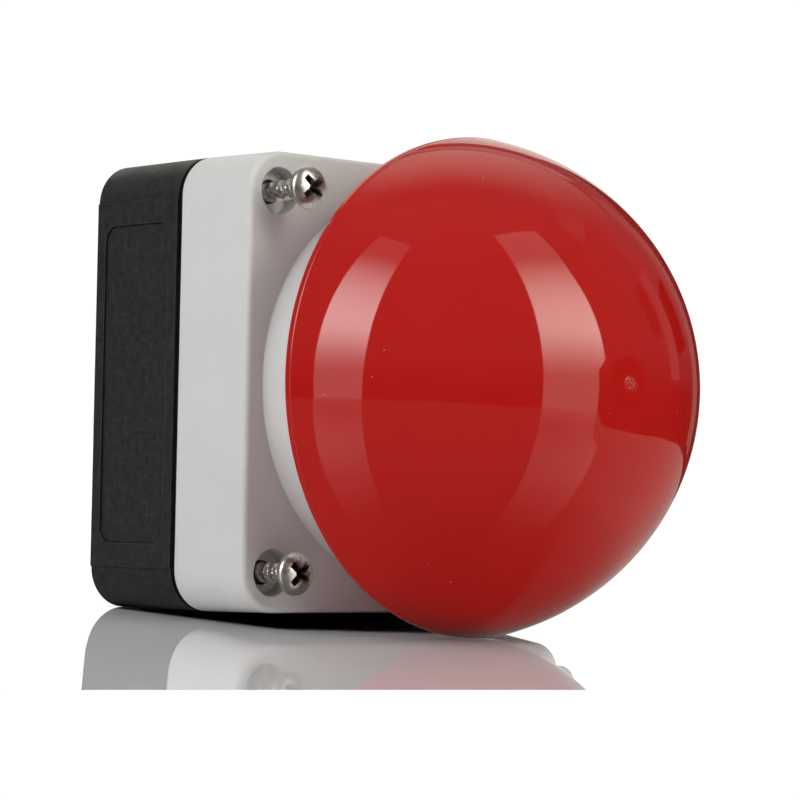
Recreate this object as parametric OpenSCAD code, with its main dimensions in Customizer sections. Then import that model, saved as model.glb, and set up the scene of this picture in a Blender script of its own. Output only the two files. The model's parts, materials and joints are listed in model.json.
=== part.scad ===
// Wall-mounted palm and foot switch: a domed mushroom cap on a two-part box,
// with one closing and one opening contact block behind its stem.
// Every piece is drawn on the bench, lying on the wall face: x to the right, y up, z out of the wall.
// on_wall() then stands it up, so that the wall face is at Y = 0 and the cap points to -Y.

/* [Enclosure] */
// Width of the enclosure
box_w = 83.6; // [80:0.2:90]
// Height of the enclosure
box_h = 86; // [82:0.5:92]
// Radius of the four corners
corner_r = 7.9; // [6.5:0.1:9.5]
// Depth of the base, from the wall to the parting line
base_depth = 26.3; // [25:0.1:30]
// Depth of the cover, from the parting line to its front face
cover_depth = 20; // [18:0.5:24]
// Wall thickness of base and cover
wall = 3; // [2.7:0.1:3.4]
// Thickness of the base's floor
floor_t = 3; // [2.4:0.1:4]
// Thickness of the cover's front
front_t = 3; // [2.4:0.1:4]
// Rounding of the cover's front edge
front_edge_r = 1; // [0.6:0.1:2]
// How far each side of the cover leans in from the parting line to the front
cover_draft = 0.3; // [0.1:0.05:0.6]
// Height of the shadow groove at the parting line
groove_h = 1.3; // [0.8:0.1:2]
// Depth of the shadow groove
groove_d = 0.7; // [0.4:0.1:1]
// Width of the cover's sealing ring
gasket_w = 1.4; // [1:0.1:1.6]
// Height of the cover's sealing ring
gasket_h = 1.6; // [1.2:0.1:2.4]

/* [Base sides] */
// How far the flat pad on each side stands out
pad_t = 0.25; // [0.15:0.05:0.5]
// Length of the sunk panel on each pad
panel_len = 61; // [50:1:64]
// Margin between the panel and the long edges of the pad
panel_margin = 2.6; // [2:0.1:4]
// Depth of the panel
panel_depth = 0.4; // [0.2:0.05:0.8]
// Corner radius of the panel
panel_r = 3; // [1.5:0.1:4]
// Diameter of the cable knock-outs in the top and bottom walls
knockout_d = 20.5; // [16.5:0.1:21]
// Depth of the knock-outs' outer step
knockout_step = 0.7; // [0.4:0.1:0.9]
// Diameter of the smaller knock-out inside each one
knockout_inner_d = 16.5; // [12:0.1:16.5]
// Distance between the wall screws, across
mount_dx = 46; // [42:1:50]
// Distance between the wall screws, up
mount_dy = 60; // [58:1:64]
// Diameter of the wall screw holes
mount_hole_d = 4.6; // [4:0.1:5.2]
// Height of the bosses round the wall screw holes, above the floor
mount_boss_h = 1.6; // [1:0.1:3]

/* [Cover screws] */
// Distance from the side of the box to the screw
screw_inset_x = 7.2; // [6.8:0.1:8]
// Distance from the top or bottom of the box to the screw
screw_inset_y = 7.7; // [6.8:0.1:8]
// How far the heads of the upper screws stand off the cover's face, not yet driven home
upper_stand = 7.7; // [5:0.1:8.4]
// How far the heads of the lower screws stand off the cover's face
lower_stand = 6.2; // [5:0.1:8.4]
// Diameter of the screw's pan head
head_d = 8; // [7:0.1:8.4]
// Height of the pan head
head_h = 2.4; // [2.1:0.1:2.8]
// Height of the upright edge below the crown of a pan head
head_edge = 0.4; // [0.2:0.1:0.8]
// Diameter of the threaded shank
shank_d = 3.9; // [3.4:0.1:4.2]
// Length of the shank, under the head
shank_len = 30; // [29.5:0.5:34]
// Length of the shank's tapered tip
screw_tip_l = 1.6; // [1:0.1:2.4]
// Diameter at the end of the tip
screw_tip_d = 2.1; // [1.6:0.1:2.6]
// Depth of the cover's counterbore for the head
counterbore = 3.2; // [2.6:0.1:4]
// Depth of the cross recess in the head
recess_depth = 1.9; // [1.2:0.1:1.9]
// Length of the cross recess, from end to end
recess_l = 5.2; // [4:0.1:5.8]
// Width of the cross recess's wings
recess_w = 1.25; // [0.9:0.05:1.6]
// Wall of the screw bosses in base and cover
boss_wall = 3; // [2.4:0.1:3.6]

/* [Collar and guide] */
// Outer radius of the cover's round collar
collar_r = 37.9; // [34:0.1:39]
// Height of the collar, from the cover's face to its deck
collar_h = 22; // [20:0.5:26]
// Wall of the collar
collar_wall = 2.6; // [2:0.1:3.4]
// Chamfer at the collar's front edge
collar_edge = 1.2; // [0.6:0.1:2]
// Thickness of the collar's deck
deck_t = 3; // [2.4:0.1:4]
// Wall of the guide tube under the deck
guide_wall = 2.5; // [2:0.1:3]
// Length of the guide tube below the deck
guide_len = 19; // [16:0.5:20]
// Height of the guide's lip above the deck
lip_h = 3; // [2:0.1:4]
// Number of ribs between guide tube and collar
rib_n = 6; // [3:1:8]
// Thickness of the ribs
rib_t = 2; // [1.4:0.1:3]
// Height of the ribs under the deck
rib_h = 9; // [5:0.5:14]

/* [Dome] */
// Radius of the dome's rim
dome_r = 46.9; // [45:0.1:48]
// Gap between the cover's face and the rim
rim_gap = 17.2; // [15:0.1:20]
// Height of the raised band at the rim
rim_band = 1.8; // [1.4:0.1:3]
// How far the band stands out from the dome's curve
rim_step = 0.15; // [0.1:0.05:0.5]
// Chamfer at the band's rear edge
rim_edge = 0.4; // [0.2:0.05:0.6]
// Rounding of the band's front edge
band_round = 0.6; // [0.5:0.05:0.8]
// Height of the crown of the dome's curve over the cover's face
dome_top = 57.4; // [55:0.1:61]
// How far the centre of the dome's curve lies behind the band
curve_drop = 12.5; // [10:0.1:15]
// Wall of the dome
dome_wall = 2.8; // [2.2:0.1:3.4]
// Diameter of the flat at the top
flat_d = 8.8; // [5:0.2:12]
// Height of the ring that the mould's gate left on the flat
gate_h = 0.4; // [0.1:0.05:0.6]
// Diameter of the gate's ring
gate_d = 2.6; // [1.8:0.1:4]
// Diameter of the crater in the gate's ring
gate_bore = 1.4; // [0.8:0.1:1.6]
// Wall of the socket that takes the stem
socket_wall = 2.5; // [2:0.1:3]
// Depth of the socket
socket_depth = 12; // [9:0.5:13]
// Solid core of the dome behind its top, where the screw bites
core_len = 7.5; // [6.5:0.5:9]
// Number of ribs inside the dome
dome_rib_n = 6; // [3:1:8]

/* [Stem] */
// Travel of the dome, stem and contact plungers
travel = 5.5; // [4:0.1:5.6]
// Diameter of the stem
stem_d = 16; // [14:0.2:17]
// Diameter of the bore inside the stem
stem_bore = 9; // [8.4:0.1:10]
// Thickness of the web that the dome's screw clamps
stem_web = 6; // [4:0.5:8]
// Radius of the stem's foot
foot_r = 15; // [12:0.5:17]
// Thickness of the stem's foot
foot_t = 3; // [2.4:0.1:4]
// Head diameter of the dome's screw
dome_screw_head_d = 7.6; // [6.8:0.1:8]
// Head height of the dome's screw
dome_screw_head_h = 2.7; // [2.2:0.1:3.2]
// Shank length of the dome's screw
dome_screw_len = 12; // [9:0.5:13]

/* [Return spring and boot] */
// Mean radius of the return spring
spring_r = 15; // [14.4:0.1:17]
// Wire of the return spring
spring_wire = 1.8; // [1.2:0.1:2]
// Length of the return spring at rest
spring_len = 21.5; // [19:0.5:22]
// Turns of the return spring
spring_turns = 6.5; // [5:0.5:7]
// Wall of the rubber boot
boot_wall = 0.8; // [0.6:0.1:1]
// Folds of the rubber boot
boot_folds = 3; // [2:1:4]
// Height of the boot's cuffs
boot_cuff = 2.4; // [1.8:0.1:3]

/* [Contact blocks] */
// Distance between the two blocks' centres
block_pitch = 12.4; // [12:0.1:14]
// Width of a contact block
block_w = 10; // [9.4:0.1:11]
// Length of a contact block
block_l = 40; // [38:0.5:44]
// Height of a contact block
block_h = 32.2; // [31:0.1:32.6]
// Wall of the block's housing
block_wall = 1.2; // [1:0.1:1.4]
// Thickness of the housing's roof and floor
roof_t = 2.4; // [2:0.1:3]
// Length of the chamber in the middle of a block
chamber_l = 23; // [22:0.5:24]
// Width of the snap feet and their hooks
foot_w = 7; // [5:0.1:8]
// Height of the snap foot at each end of a block
foot_h = 2.2; // [1.6:0.1:3]
// Height of the seat ribs under the blocks
seat_h = 1; // [0.6:0.1:1.6]
// Width of the plungers, across the block
plunger_w = 7.2; // [6.4:0.1:7.4]
// Length of the plungers, along the block
plunger_l = 7; // [5:0.1:7.4]
// Height of the plunger's flange under the roof
flange_t = 2.2; // [1.6:0.1:3]
// Travel of the contact bridges
bridge_travel = 3.3; // [2.4:0.1:3.4]
// Thickness of the contact bridges
bridge_t = 0.9; // [0.6:0.1:1.2]
// Width of the contact bridges
bridge_w = 5; // [4:0.1:5.2]
// Distance between the two contact points of a bridge
tip_pitch = 16; // [15:0.5:17]
// Diameter of the contact tips
tip_d = 3.2; // [2:0.1:3.6]
// Height of the contact tips
tip_h = 0.8; // [0.5:0.1:1]
// Thickness of the fixed contact strips
strip_t = 1; // [0.8:0.1:1.2]
// Width of the fixed contact strips
strip_w = 5.6; // [4.6:0.1:6]
// Height of the closing block's strips above its underside
no_strip_z = 9; // [8:0.1:10]
// Height of the opening block's strips above its underside
nc_strip_z = 17; // [16:0.1:18]
// Head diameter of the terminal screws
terminal_head_d = 5.4; // [4.6:0.1:5.6]
// Diameter of the terminal screws' thread
terminal_shank_d = 3.4; // [2.8:0.1:3.6]
// Wire of the contact blocks' springs
small_wire = 0.5; // [0.4:0.05:0.6]
// Turns of the contact blocks' springs
small_turns = 6; // [4:1:7]

/* [Clearances] */
// Running clearance of the stem and plungers
slide_gap = 0.1; // [0.05:0.05:0.3]
// Gap between faces that only seat
seat_gap = 0.1; // [0.05:0.05:0.2]
// Clearance round a shank in its hole
hole_gap = 0.35; // [0.2:0.05:0.5]

/* [Hidden] */
$fn = 96;
corner_fn = 48;
cut = 1;
z_part = base_depth;
z_face = z_part + cover_depth;
z_deck = z_face + collar_h;
z_rim = z_face + rim_gap;
z_band = z_rim + rim_band;
z_top = z_face + dome_top;
screw_x = box_w / 2 - screw_inset_x;
screw_y = box_h / 2 - screw_inset_y;
groove_wall = wall - groove_d;
gasket_inset = groove_d + (groove_wall - gasket_w) / 2;

// The dome's outer curve is a quarter ellipse about curve_z, with these two semi-axes
curve_z = z_band - curve_drop;
curve_b = z_top - curve_z;
curve_a = (dome_r - rim_step) / cos(asin(curve_drop / curve_b));
flat_angle = acos(flat_d / 2 / curve_a);
z_flat = curve_z + curve_b * sin(flat_angle);
dome_steps = 28;
band_steps = 4;

// The end turn of a spring climbs a little more than its wire, so that the turns stay apart
coil_lift = 1.06;
spring_steps = 16;
spring_sides = 8;
small_steps = 10;
small_sides = 6;

stem_r = stem_d / 2;
guide_r = stem_r + slide_gap;
guide_out_r = guide_r + guide_wall;
guide_end_z = z_deck - deck_t - guide_len;
foot_front_z = guide_end_z - seat_gap;
foot_rear_z = foot_front_z - foot_t;
socket_end_z = z_top - dome_wall - core_len;
socket_z = socket_end_z - socket_depth;
web_z = socket_end_z - stem_web;
spring_top_z = z_deck + spring_len;
ring_gap = 0.3;
ring_r = spring_r - spring_wire / 2 - ring_gap;
ring_t = 1.2;
ring_h = 2;
boot_bite = 0.5;
boot_gap = 0.4;
boot_ease = 0.6;
boot_top_z = socket_z - boot_gap;
boot_high_z = boot_top_z - boot_cuff;
boot_low_z = z_deck + max(lip_h, boot_cuff) + seat_gap;
boot_fold_out = ring_r - ring_gap;
boot_fold_in = stem_r + boot_wall + boot_ease;

z_seat = floor_t + seat_h;
plunger_top = foot_rear_z - seat_gap - z_seat;
chamber_w = block_w - 2 * block_wall;
roof_z = block_h - roof_t;
flange_z = roof_z - seat_gap - flange_t;
block_foot = 1.6;
hook_t = 2;
hook_reach = 1.2;
hook_nose = 3;
pocket_start = chamber_l / 2 + block_wall;
pocket_end = block_l / 2 - block_wall;
pocket_mid = (pocket_start + pocket_end) / 2;
pocket_l = pocket_end - pocket_start;
flange_side = 0.6;
flange_end = 0.8;
neck_w = plunger_w - 2 * flange_side;
neck_l = plunger_l - 2 * flange_end;
tip_margin = 0.4;
strip_start = tip_pitch / 2 - tip_d / 2 - 2 * tip_margin;
strip_end = pocket_end - tip_margin;
clamp_t = 1.2;
clamp_side = 0.3;
wire_room = 3;
terminal_head_h = 2;
terminal_tail = 3;
terminal_slot = 0.9;
lid_window = 3;
lid_window_y = 16.8;
lid_window_z = 25.8;
seat_rib_w = 4;
bridge_l = tip_pitch + tip_d + 2 * tip_margin;
slack = travel - bridge_travel;

// Closing block, from its underside: tips open by bridge_travel at rest
no_bridge_z = no_strip_z + strip_t + tip_h + bridge_travel + seat_gap + tip_h;
no_window_z = no_bridge_z - seat_gap;
contact_spring_min = 4.4;
cage_sill = 2;
no_window_top = no_bridge_z + bridge_t + slack + contact_spring_min;
no_plunger_z = no_window_z - cage_sill;

// Opening block: tips closed at rest, the plunger's push rod ends above its bridge
nc_bridge_z = nc_strip_z - 2 * tip_h - bridge_t;
nc_push_z = nc_bridge_z + bridge_t + slack + seat_gap;
push_w = 3.6;
push_spring_r = push_w / sqrt(2) + small_wire / 2 + ring_gap;

base_colour = [0.14, 0.14, 0.145];
cover_colour = [0.77, 0.77, 0.76];
dome_colour = [0.72, 0.08, 0.07];
steel_colour = [0.78, 0.78, 0.79];
rubber_colour = [0.1, 0.1, 0.1];
stem_colour = [0.9, 0.89, 0.85];
housing_colour = [0.3, 0.31, 0.32];
brass_colour = [0.82, 0.66, 0.34];
silver_colour = [0.86, 0.86, 0.87];
closing_colour = [0.1, 0.5, 0.25];
opening_colour = [0.75, 0.12, 0.1];

// Stands a piece drawn on the bench up against the wall
module on_wall() { rotate([90, 0, 0]) children(); }

// Copies a piece to the four corners of a rectangle
module four(dx, dy) {
    for (sx = [-1, 1], sy = [-1, 1]) translate([sx * dx, sy * dy, 0]) children();
}

module rounded_rect(w, h, r) {
    square([w, h - 2 * r], center = true);
    square([w - 2 * r, h], center = true);
    for (sx = [-1, 1], sy = [-1, 1]) translate([sx * (w / 2 - r), sy * (h / 2 - r)]) circle(r);
}

// Outline of the box, moved in from its outside by an inset
module box_outline(inset) {
    rounded_rect(box_w - 2 * inset, box_h - 2 * inset, corner_r - inset);
}

// Ring that follows the box, between two insets
module box_ring(outer, inner) {
    difference() {
        box_outline(outer);
        box_outline(inner);
    }
}

// Box centred on x and y, standing on z
module block(w, l, h) { translate([-w / 2, -l / 2, 0]) cube([w, l, h]); }

// Compression spring with closed end turns, standing on z
function coil_z(t, turns, wire, len) =
    let (end = wire * coil_lift, rise = (len - wire - 2 * end) / (turns - 2))
    t < 1 ? end * t : t > turns - 1 ? len - wire - end * (turns - t) : end + rise * (t - 1);

module coil(r, wire, len, turns, steps, sides) {
    rings = round(turns * steps);
    points = [
        for (i = [0 : rings], j = [0 : sides - 1])
            let (t = i / steps, a = 360 * t, b = 360 * j / sides, q = r + wire / 2 * cos(b))
            [q * cos(a), q * sin(a), wire / 2 + coil_z(t, turns, wire, len) + wire / 2 * sin(b)]
    ];
    sides_faces = [
        for (i = [0 : rings - 1], j = [0 : sides - 1], k = [0, 1])
            let (p = i * sides + j, q = i * sides + (j + 1) % sides)
            k == 0 ? [p, q, q + sides] : [p, q + sides, p + sides]
    ];
    first = [for (j = [sides - 1 : -1 : 0]) j];
    last = [for (j = [0 : sides - 1]) rings * sides + j];
    polyhedron(points, concat(sides_faces, [first, last]), convexity = 8);
}

// Spring of a contact block
module small_coil(r, len) { coil(r, small_wire, len, small_turns, small_steps, small_sides); }

module cylinder_at(d, z0, z1) { translate([0, 0, z0]) cylinder(d = d, h = z1 - z0); }

// Flat pad on the left and right side of the base, with its sunk panel
module side_pad() {
    pad_l = box_h - 2 * corner_r;
    pad_w = base_depth - groove_h;
    translate([box_w / 2 - cut, -pad_l / 2, 0]) cube([pad_t + cut, pad_l, pad_w]);
}

module side_panel() {
    panel_w = base_depth - groove_h - 2 * panel_margin;
    translate([box_w / 2 + pad_t - panel_depth, 0, panel_margin + panel_w / 2])
        rotate([0, 90, 0])
        linear_extrude(panel_depth + cut) rounded_rect(panel_w, panel_len, panel_r);
}

// Stepped cable knock-out in the top wall: two thin discs, the smaller one standing in the larger
module knockout() {
    translate([0, box_h / 2 - knockout_step, (base_depth - groove_h) / 2]) rotate([-90, 0, 0])
        difference() {
            cylinder(d = knockout_d, h = knockout_step + cut);
            translate([0, 0, -cut]) cylinder(d = knockout_inner_d, h = knockout_step / 2 + cut);
        }
}

// Snap hook that holds one end of a contact block on the base
module snap_hook() {
    under = cut + seat_h + foot_h + seat_gap;
    foot_out = block_l / 2 + block_foot;
    translate([0, foot_out + seat_gap, floor_t - cut])
        rotate([90, 0, 90])
        linear_extrude(foot_w, center = true)
        polygon([
            [0, 0], [hook_t, 0], [hook_t, under + hook_nose], [0, under + hook_nose],
            [-hook_reach, under], [0, under],
        ]);
}

module rear_base() {
    boss_d = shank_d + 2 * boss_wall;
    color(base_colour) on_wall() difference() {
        union() {
            difference() {
                union() {
                    linear_extrude(z_part - groove_h) box_outline(0);
                    linear_extrude(z_part) box_outline(groove_d);
                }
                translate([0, 0, floor_t]) linear_extrude(z_part) box_outline(wall);
            }
            for (m = [0, 1]) mirror([m, 0, 0]) side_pad();
            four(screw_x, screw_y) cylinder_at(boss_d, floor_t - cut, z_part);
            four(mount_dx / 2, mount_dy / 2)
                cylinder_at(mount_hole_d + 2 * boss_wall, floor_t - cut, floor_t + mount_boss_h);
            for (m = [0, 1]) mirror([0, m, 0]) {
                translate([0, block_l / 4, floor_t - cut])
                    block(block_pitch + block_w, seat_rib_w, seat_h + cut);
                for (s = [-1, 1]) translate([s * block_pitch / 2, 0, 0]) snap_hook();
            }
        }
        for (m = [0, 1]) mirror([m, 0, 0]) side_panel();
        for (m = [0, 1]) mirror([0, m, 0]) knockout();
        four(screw_x, screw_y) cylinder_at(shank_d + seat_gap, floor_t + cut, z_part + cut);
        four(mount_dx / 2, mount_dy / 2)
            cylinder_at(mount_hole_d, -cut, floor_t + mount_boss_h + cut);
    }
}

// Corner post of the cover, with the front edge rounded over
module cover_post() {
    top_r = corner_r - cover_draft;
    rotate_extrude($fn = corner_fn) polygon(concat(
        [[0, 0], [corner_r, 0]],
        [for (a = [0 : 15 : 90])
            [top_r - front_edge_r * (1 - cos(a)), cover_depth - front_edge_r * (1 - sin(a))]],
        [[0, cover_depth]]
    ));
}

module cover_block() {
    translate([0, 0, z_part]) hull()
        four(box_w / 2 - corner_r, box_h / 2 - corner_r) cover_post();
}

// Collar, deck, guide tube, lip and spring ring, turned as one profile
module collar_profile() {
    deck_under = z_deck - deck_t;
    collar_in = collar_r - collar_wall;
    polygon([
        [collar_in, z_face - front_t], [collar_r, z_face - front_t],
        [collar_r, z_deck - collar_edge], [collar_r - collar_edge, z_deck],
        [ring_r, z_deck], [ring_r, z_deck + ring_h],
        [ring_r - ring_t, z_deck + ring_h], [ring_r - ring_t, z_deck],
        [guide_out_r, z_deck], [guide_out_r, z_deck + lip_h], [guide_r, z_deck + lip_h],
        [guide_r, guide_end_z], [guide_out_r, guide_end_z],
        [guide_out_r, deck_under], [collar_in, deck_under],
    ]);
}

module front_cover() {
    boss_d = shank_d + 2 * hole_gap + 2 * boss_wall;
    collar_in = collar_r - collar_wall;
    color(cover_colour) on_wall() difference() {
        union() {
            difference() {
                cover_block();
                translate([0, 0, z_part - cut])
                    linear_extrude(cover_depth - front_t + cut) box_outline(wall);
                cylinder_at(2 * (collar_in + collar_wall / 2), z_part, z_face + cut);
            }
            rotate_extrude() collar_profile();
            for (i = [0 : rib_n - 1]) rotate([0, 0, 360 / rib_n * (i + 0.5)])
                translate([guide_out_r - cut / 2, -rib_t / 2, z_deck - deck_t - rib_h])
                cube([collar_in - guide_out_r + cut, rib_t, rib_h + cut]);
            four(screw_x, screw_y) cylinder_at(boss_d, z_part, z_face - cut);
        }
        four(screw_x, screw_y) {
            cylinder_at(shank_d + 2 * hole_gap, z_part - cut, z_face + cut);
            cylinder_at(head_d + 2 * hole_gap, z_face - counterbore, z_face + cut);
        }
        translate([0, 0, z_part - cut]) linear_extrude(gasket_h + cut)
            box_ring(gasket_inset - seat_gap / 2, gasket_inset + gasket_w + seat_gap / 2);
    }
}

module cover_gasket() {
    color(rubber_colour) on_wall() translate([0, 0, z_part])
        linear_extrude(gasket_h - seat_gap / 2) box_ring(gasket_inset, gasket_inset + gasket_w);
}

// Pan head: flat bearing face, upright edge and a crown
module pan_head(d, h) {
    rotate_extrude() polygon(concat(
        [[0, 0], [d / 2, 0]],
        [for (a = [0 : 10 : 80]) [d / 2 * cos(a), head_edge + (h - head_edge) * sin(a)]],
        [[0, h]]
    ));
}

// Cover screw on its tip, with a cross recess
module cover_screw() {
    difference() {
        union() {
            translate([0, 0, shank_len]) pan_head(head_d, head_h);
            cylinder_at(shank_d, screw_tip_l, shank_len + cut / 2);
            cylinder(d1 = screw_tip_d, d2 = shank_d, h = screw_tip_l);
        }
        translate([0, 0, shank_len + head_h - recess_depth])
            for (a = [45, 135]) rotate([0, 0, a]) block(recess_l, recess_w, recess_depth + cut);
    }
}

// The four screws are started in the base but not driven home, the upper pair less than the lower
module cover_screws() {
    color(steel_colour) on_wall() for (sx = [-1, 1], sy = [-1, 1]) {
        stand = sy > 0 ? upper_stand : lower_stand;
        translate([sx * screw_x, sy * screw_y, z_face + stand - shank_len]) cover_screw();
    }
}

function dome_point(a, in) = [(curve_a - in) * cos(a), curve_z + (curve_b - in) * sin(a)];

function dome_start(in) = asin((z_band - curve_z) / (curve_b - in));

function dome_arc(in, end) =
    [for (i = [0 : dome_steps]) dome_point(dome_start(in) + (end - dome_start(in)) * i / dome_steps, in)];

function reversed(list) = [for (i = [len(list) - 1 : -1 : 0]) list[i]];

// Shell with a raised band at its rim; the band's front edge rounds over into the dome's curve
module dome_shell_profile() {
    turn = acos(1 - rim_step / band_round);
    band = [for (i = [0 : band_steps]) let (a = turn * i / band_steps)
        [dome_r - band_round * (1 - cos(a)), z_band - band_round * (1 - sin(a))]];
    polygon(concat(
        [[dome_r - dome_wall, z_rim], [dome_r - rim_edge, z_rim], [dome_r, z_rim + rim_edge]],
        band,
        dome_arc(0, flat_angle),
        [[0, z_flat]],
        reversed(dome_arc(dome_wall, 90))
    ));
}

// Rib inside the dome, from the socket to the shell; it hangs down to the return spring
module dome_rib() {
    in = dome_wall / 2;
    start = asin((spring_top_z - curve_z) / (curve_b - in));
    end = acos((stem_r + socket_wall / 2) / (curve_a - in));
    steps = 8;
    rotate([90, 0, 0]) linear_extrude(rib_t, center = true) polygon(concat(
        [[stem_r + socket_wall / 2, spring_top_z]],
        [for (i = [0 : steps]) dome_point(start + (end - start) * i / steps, in)]
    ));
}

// Ring that is left where the moulding was broken off its gate
module gate_ring() {
    difference() {
        cylinder_at(gate_d, z_flat - dome_wall / 2, z_flat + gate_h);
        cylinder_at(gate_bore, z_flat + gate_h / 2, z_flat + gate_h + cut);
    }
}

module dome_cap() {
    socket_r = stem_r + seat_gap / 2;
    boss_r = socket_r + socket_wall;
    boss_top = dome_point(acos(boss_r / (curve_a - dome_wall / 2)), dome_wall / 2)[1];
    pilot_d = shank_d + seat_gap;
    color(dome_colour) on_wall() difference() {
        union() {
            rotate_extrude() dome_shell_profile();
            cylinder_at(2 * boss_r, socket_z, boss_top);
            for (i = [0 : dome_rib_n - 1]) rotate([0, 0, 360 / dome_rib_n * i]) dome_rib();
            gate_ring();
        }
        cylinder_at(2 * socket_r, socket_z - cut, socket_end_z);
        cylinder_at(pilot_d, socket_end_z - cut, socket_end_z + dome_screw_len - stem_web + cut / 2);
    }
}

module plunger_stem() {
    color(stem_colour) on_wall() difference() {
        union() {
            cylinder_at(stem_d, foot_rear_z, socket_end_z - seat_gap);
            cylinder_at(2 * foot_r, foot_rear_z, foot_front_z);
        }
        cylinder_at(stem_bore, foot_rear_z - cut, web_z);
        cylinder_at(shank_d + 2 * hole_gap, foot_rear_z, socket_end_z);
        translate([0, 0, boot_high_z]) linear_extrude(boot_cuff) difference() {
            circle(stem_r + cut);
            circle(stem_r - boot_bite);
        }
    }
}

// The dome's screw comes up through the stem's web into the dome's core
module dome_screw() {
    color(steel_colour) on_wall() translate([0, 0, web_z]) {
        mirror([0, 0, 1]) pan_head(dome_screw_head_d, dome_screw_head_h);
        cylinder_at(shank_d, -cut / 2, dome_screw_len);
    }
}

module return_spring() {
    color(steel_colour) on_wall() translate([0, 0, z_deck])
        coil(spring_r, spring_wire, spring_len, spring_turns, spring_steps, spring_sides);
}

// Rubber boot: a lower cuff round the guide's lip, folds, and an upper cuff in the stem's groove
module stem_boot() {
    low_in = guide_out_r + seat_gap / 2;
    top_in = stem_r - boot_bite + seat_gap / 2;
    top_z = boot_top_z - seat_gap / 2;
    neck_z = boot_high_z + seat_gap / 2;
    pitch = (boot_high_z - boot_low_z) / (2 * boot_folds);
    folds = [for (i = [0 : 2 * boot_folds - 1])
        [i % 2 == 0 ? boot_fold_out : boot_fold_in, boot_low_z + pitch * (i + 0.5)]];
    inside = [for (p = folds) [p[0] - boot_wall, p[1]]];
    color(rubber_colour) on_wall() rotate_extrude() polygon(concat(
        [[low_in, z_deck], [low_in + boot_wall, z_deck], [low_in + boot_wall, boot_low_z]],
        folds,
        [[boot_fold_in, neck_z + boot_wall], [top_in + boot_wall, neck_z + boot_wall]],
        [[top_in + boot_wall, top_z], [top_in, top_z], [top_in, neck_z]],
        [[boot_fold_in - boot_wall, neck_z]],
        reversed(inside),
        [[low_in, boot_low_z]]
    ));
}

// Places a contact block: -1 is the closing block on the left, 1 the opening block on the right
module at_block(side) {
    on_wall() translate([side * block_pitch / 2, 0, z_seat])
        mirror([side < 0 ? 1 : 0, 0, 0]) children();
}

// Open housing of a contact block; its lid closes the outer side
module block_housing(strip_z) {
    entry_h = clamp_t + wire_room;
    difference() {
        union() {
            translate([-block_w / 2, -block_l / 2, 0]) cube([block_w - block_wall, block_l, block_h]);
            block(foot_w, block_l + 2 * block_foot, foot_h);
        }
        translate([-chamber_w / 2, -chamber_l / 2, roof_t])
            cube([block_w, chamber_l, roof_z - roof_t]);
        block_slot(neck_w + 2 * slide_gap, neck_l + 2 * slide_gap, roof_z - cut, block_h + cut);
        for (m = [0, 1]) mirror([0, m, 0]) {
            translate([-chamber_w / 2, pocket_start, strip_z])
                cube([chamber_w, pocket_l, block_h]);
            translate([-chamber_w / 2, pocket_end - cut, strip_z])
                cube([chamber_w, block_wall + 2 * cut, entry_h]);
            translate([-strip_w / 2 - seat_gap, chamber_l / 2 - cut, strip_z])
                cube([strip_w + 2 * seat_gap, block_wall + 2 * cut, strip_t + seat_gap]);
            translate([0, pocket_mid, 0])
                cylinder_at(terminal_shank_d + hole_gap, strip_z - terminal_tail - cut, strip_z + cut);
        }
    }
}

module block_slot(w, l, z0, z1) { translate([0, 0, z0]) block(w, l, z1 - z0); }

// Snap-on side plate of a contact block
module block_lid() {
    translate([block_w / 2 - block_wall, 0, 0]) difference() {
        translate([0, -block_l / 2, 0]) cube([block_wall, block_l, block_h]);
        for (s = [-1, 1]) translate([-cut, s * lid_window_y - lid_window / 2, lid_window_z])
            cube([block_wall + 2 * cut, lid_window, lid_window]);
    }
}

// Fixed contact: strip from the terminal into the chamber, with its contact tip above or below
module strip(strip_z, tip_up) {
    difference() {
        union() {
            translate([-strip_w / 2, strip_start, strip_z])
                cube([strip_w, strip_end - strip_start, strip_t]);
            translate([0, tip_pitch / 2, strip_z + (tip_up ? strip_t - seat_gap : -tip_h)])
                cylinder(d = tip_d, h = tip_h + seat_gap);
        }
        translate([0, pocket_mid, 0])
            cylinder_at(terminal_shank_d + seat_gap, strip_z - cut, strip_z + strip_t + cut);
    }
}

module clamp(strip_z) {
    clamp_l = pocket_l - 2 * clamp_side;
    translate([0, pocket_mid, strip_z + strip_t]) difference() {
        block(strip_w, clamp_l, clamp_t);
        cylinder_at(terminal_shank_d + hole_gap, -cut, clamp_t + cut);
    }
}

module terminal_screw(strip_z) {
    head_z = strip_z + strip_t + clamp_t;
    translate([0, pocket_mid, 0]) difference() {
        union() {
            cylinder_at(terminal_head_d, head_z, head_z + terminal_head_h);
            cylinder_at(terminal_shank_d, strip_z - terminal_tail, head_z + cut / 2);
        }
        translate([0, 0, head_z + terminal_head_h / 2])
            block(terminal_head_d + cut, terminal_slot, terminal_head_h);
    }
}

module both_ends() { for (m = [0, 1]) mirror([0, m, 0]) children(); }

// Contact bridge with a tip at each end, facing down or up
module bridge(z, tip_up) {
    translate([0, 0, z]) block(bridge_w, bridge_l, bridge_t);
    both_ends() translate([0, tip_pitch / 2, z + (tip_up ? bridge_t - seat_gap : -tip_h)])
        cylinder(d = tip_d, h = tip_h + seat_gap);
}

// Neck through the roof and flange under it, the same on both plungers
module plunger_top_part() {
    block_slot(neck_w, neck_l, flange_z, plunger_top);
    block_slot(plunger_w, plunger_l, flange_z, flange_z + flange_t);
}

module no_housing() { color(housing_colour) at_block(-1) block_housing(no_strip_z); }

module no_lid() { color(housing_colour) at_block(-1) block_lid(); }

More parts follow.
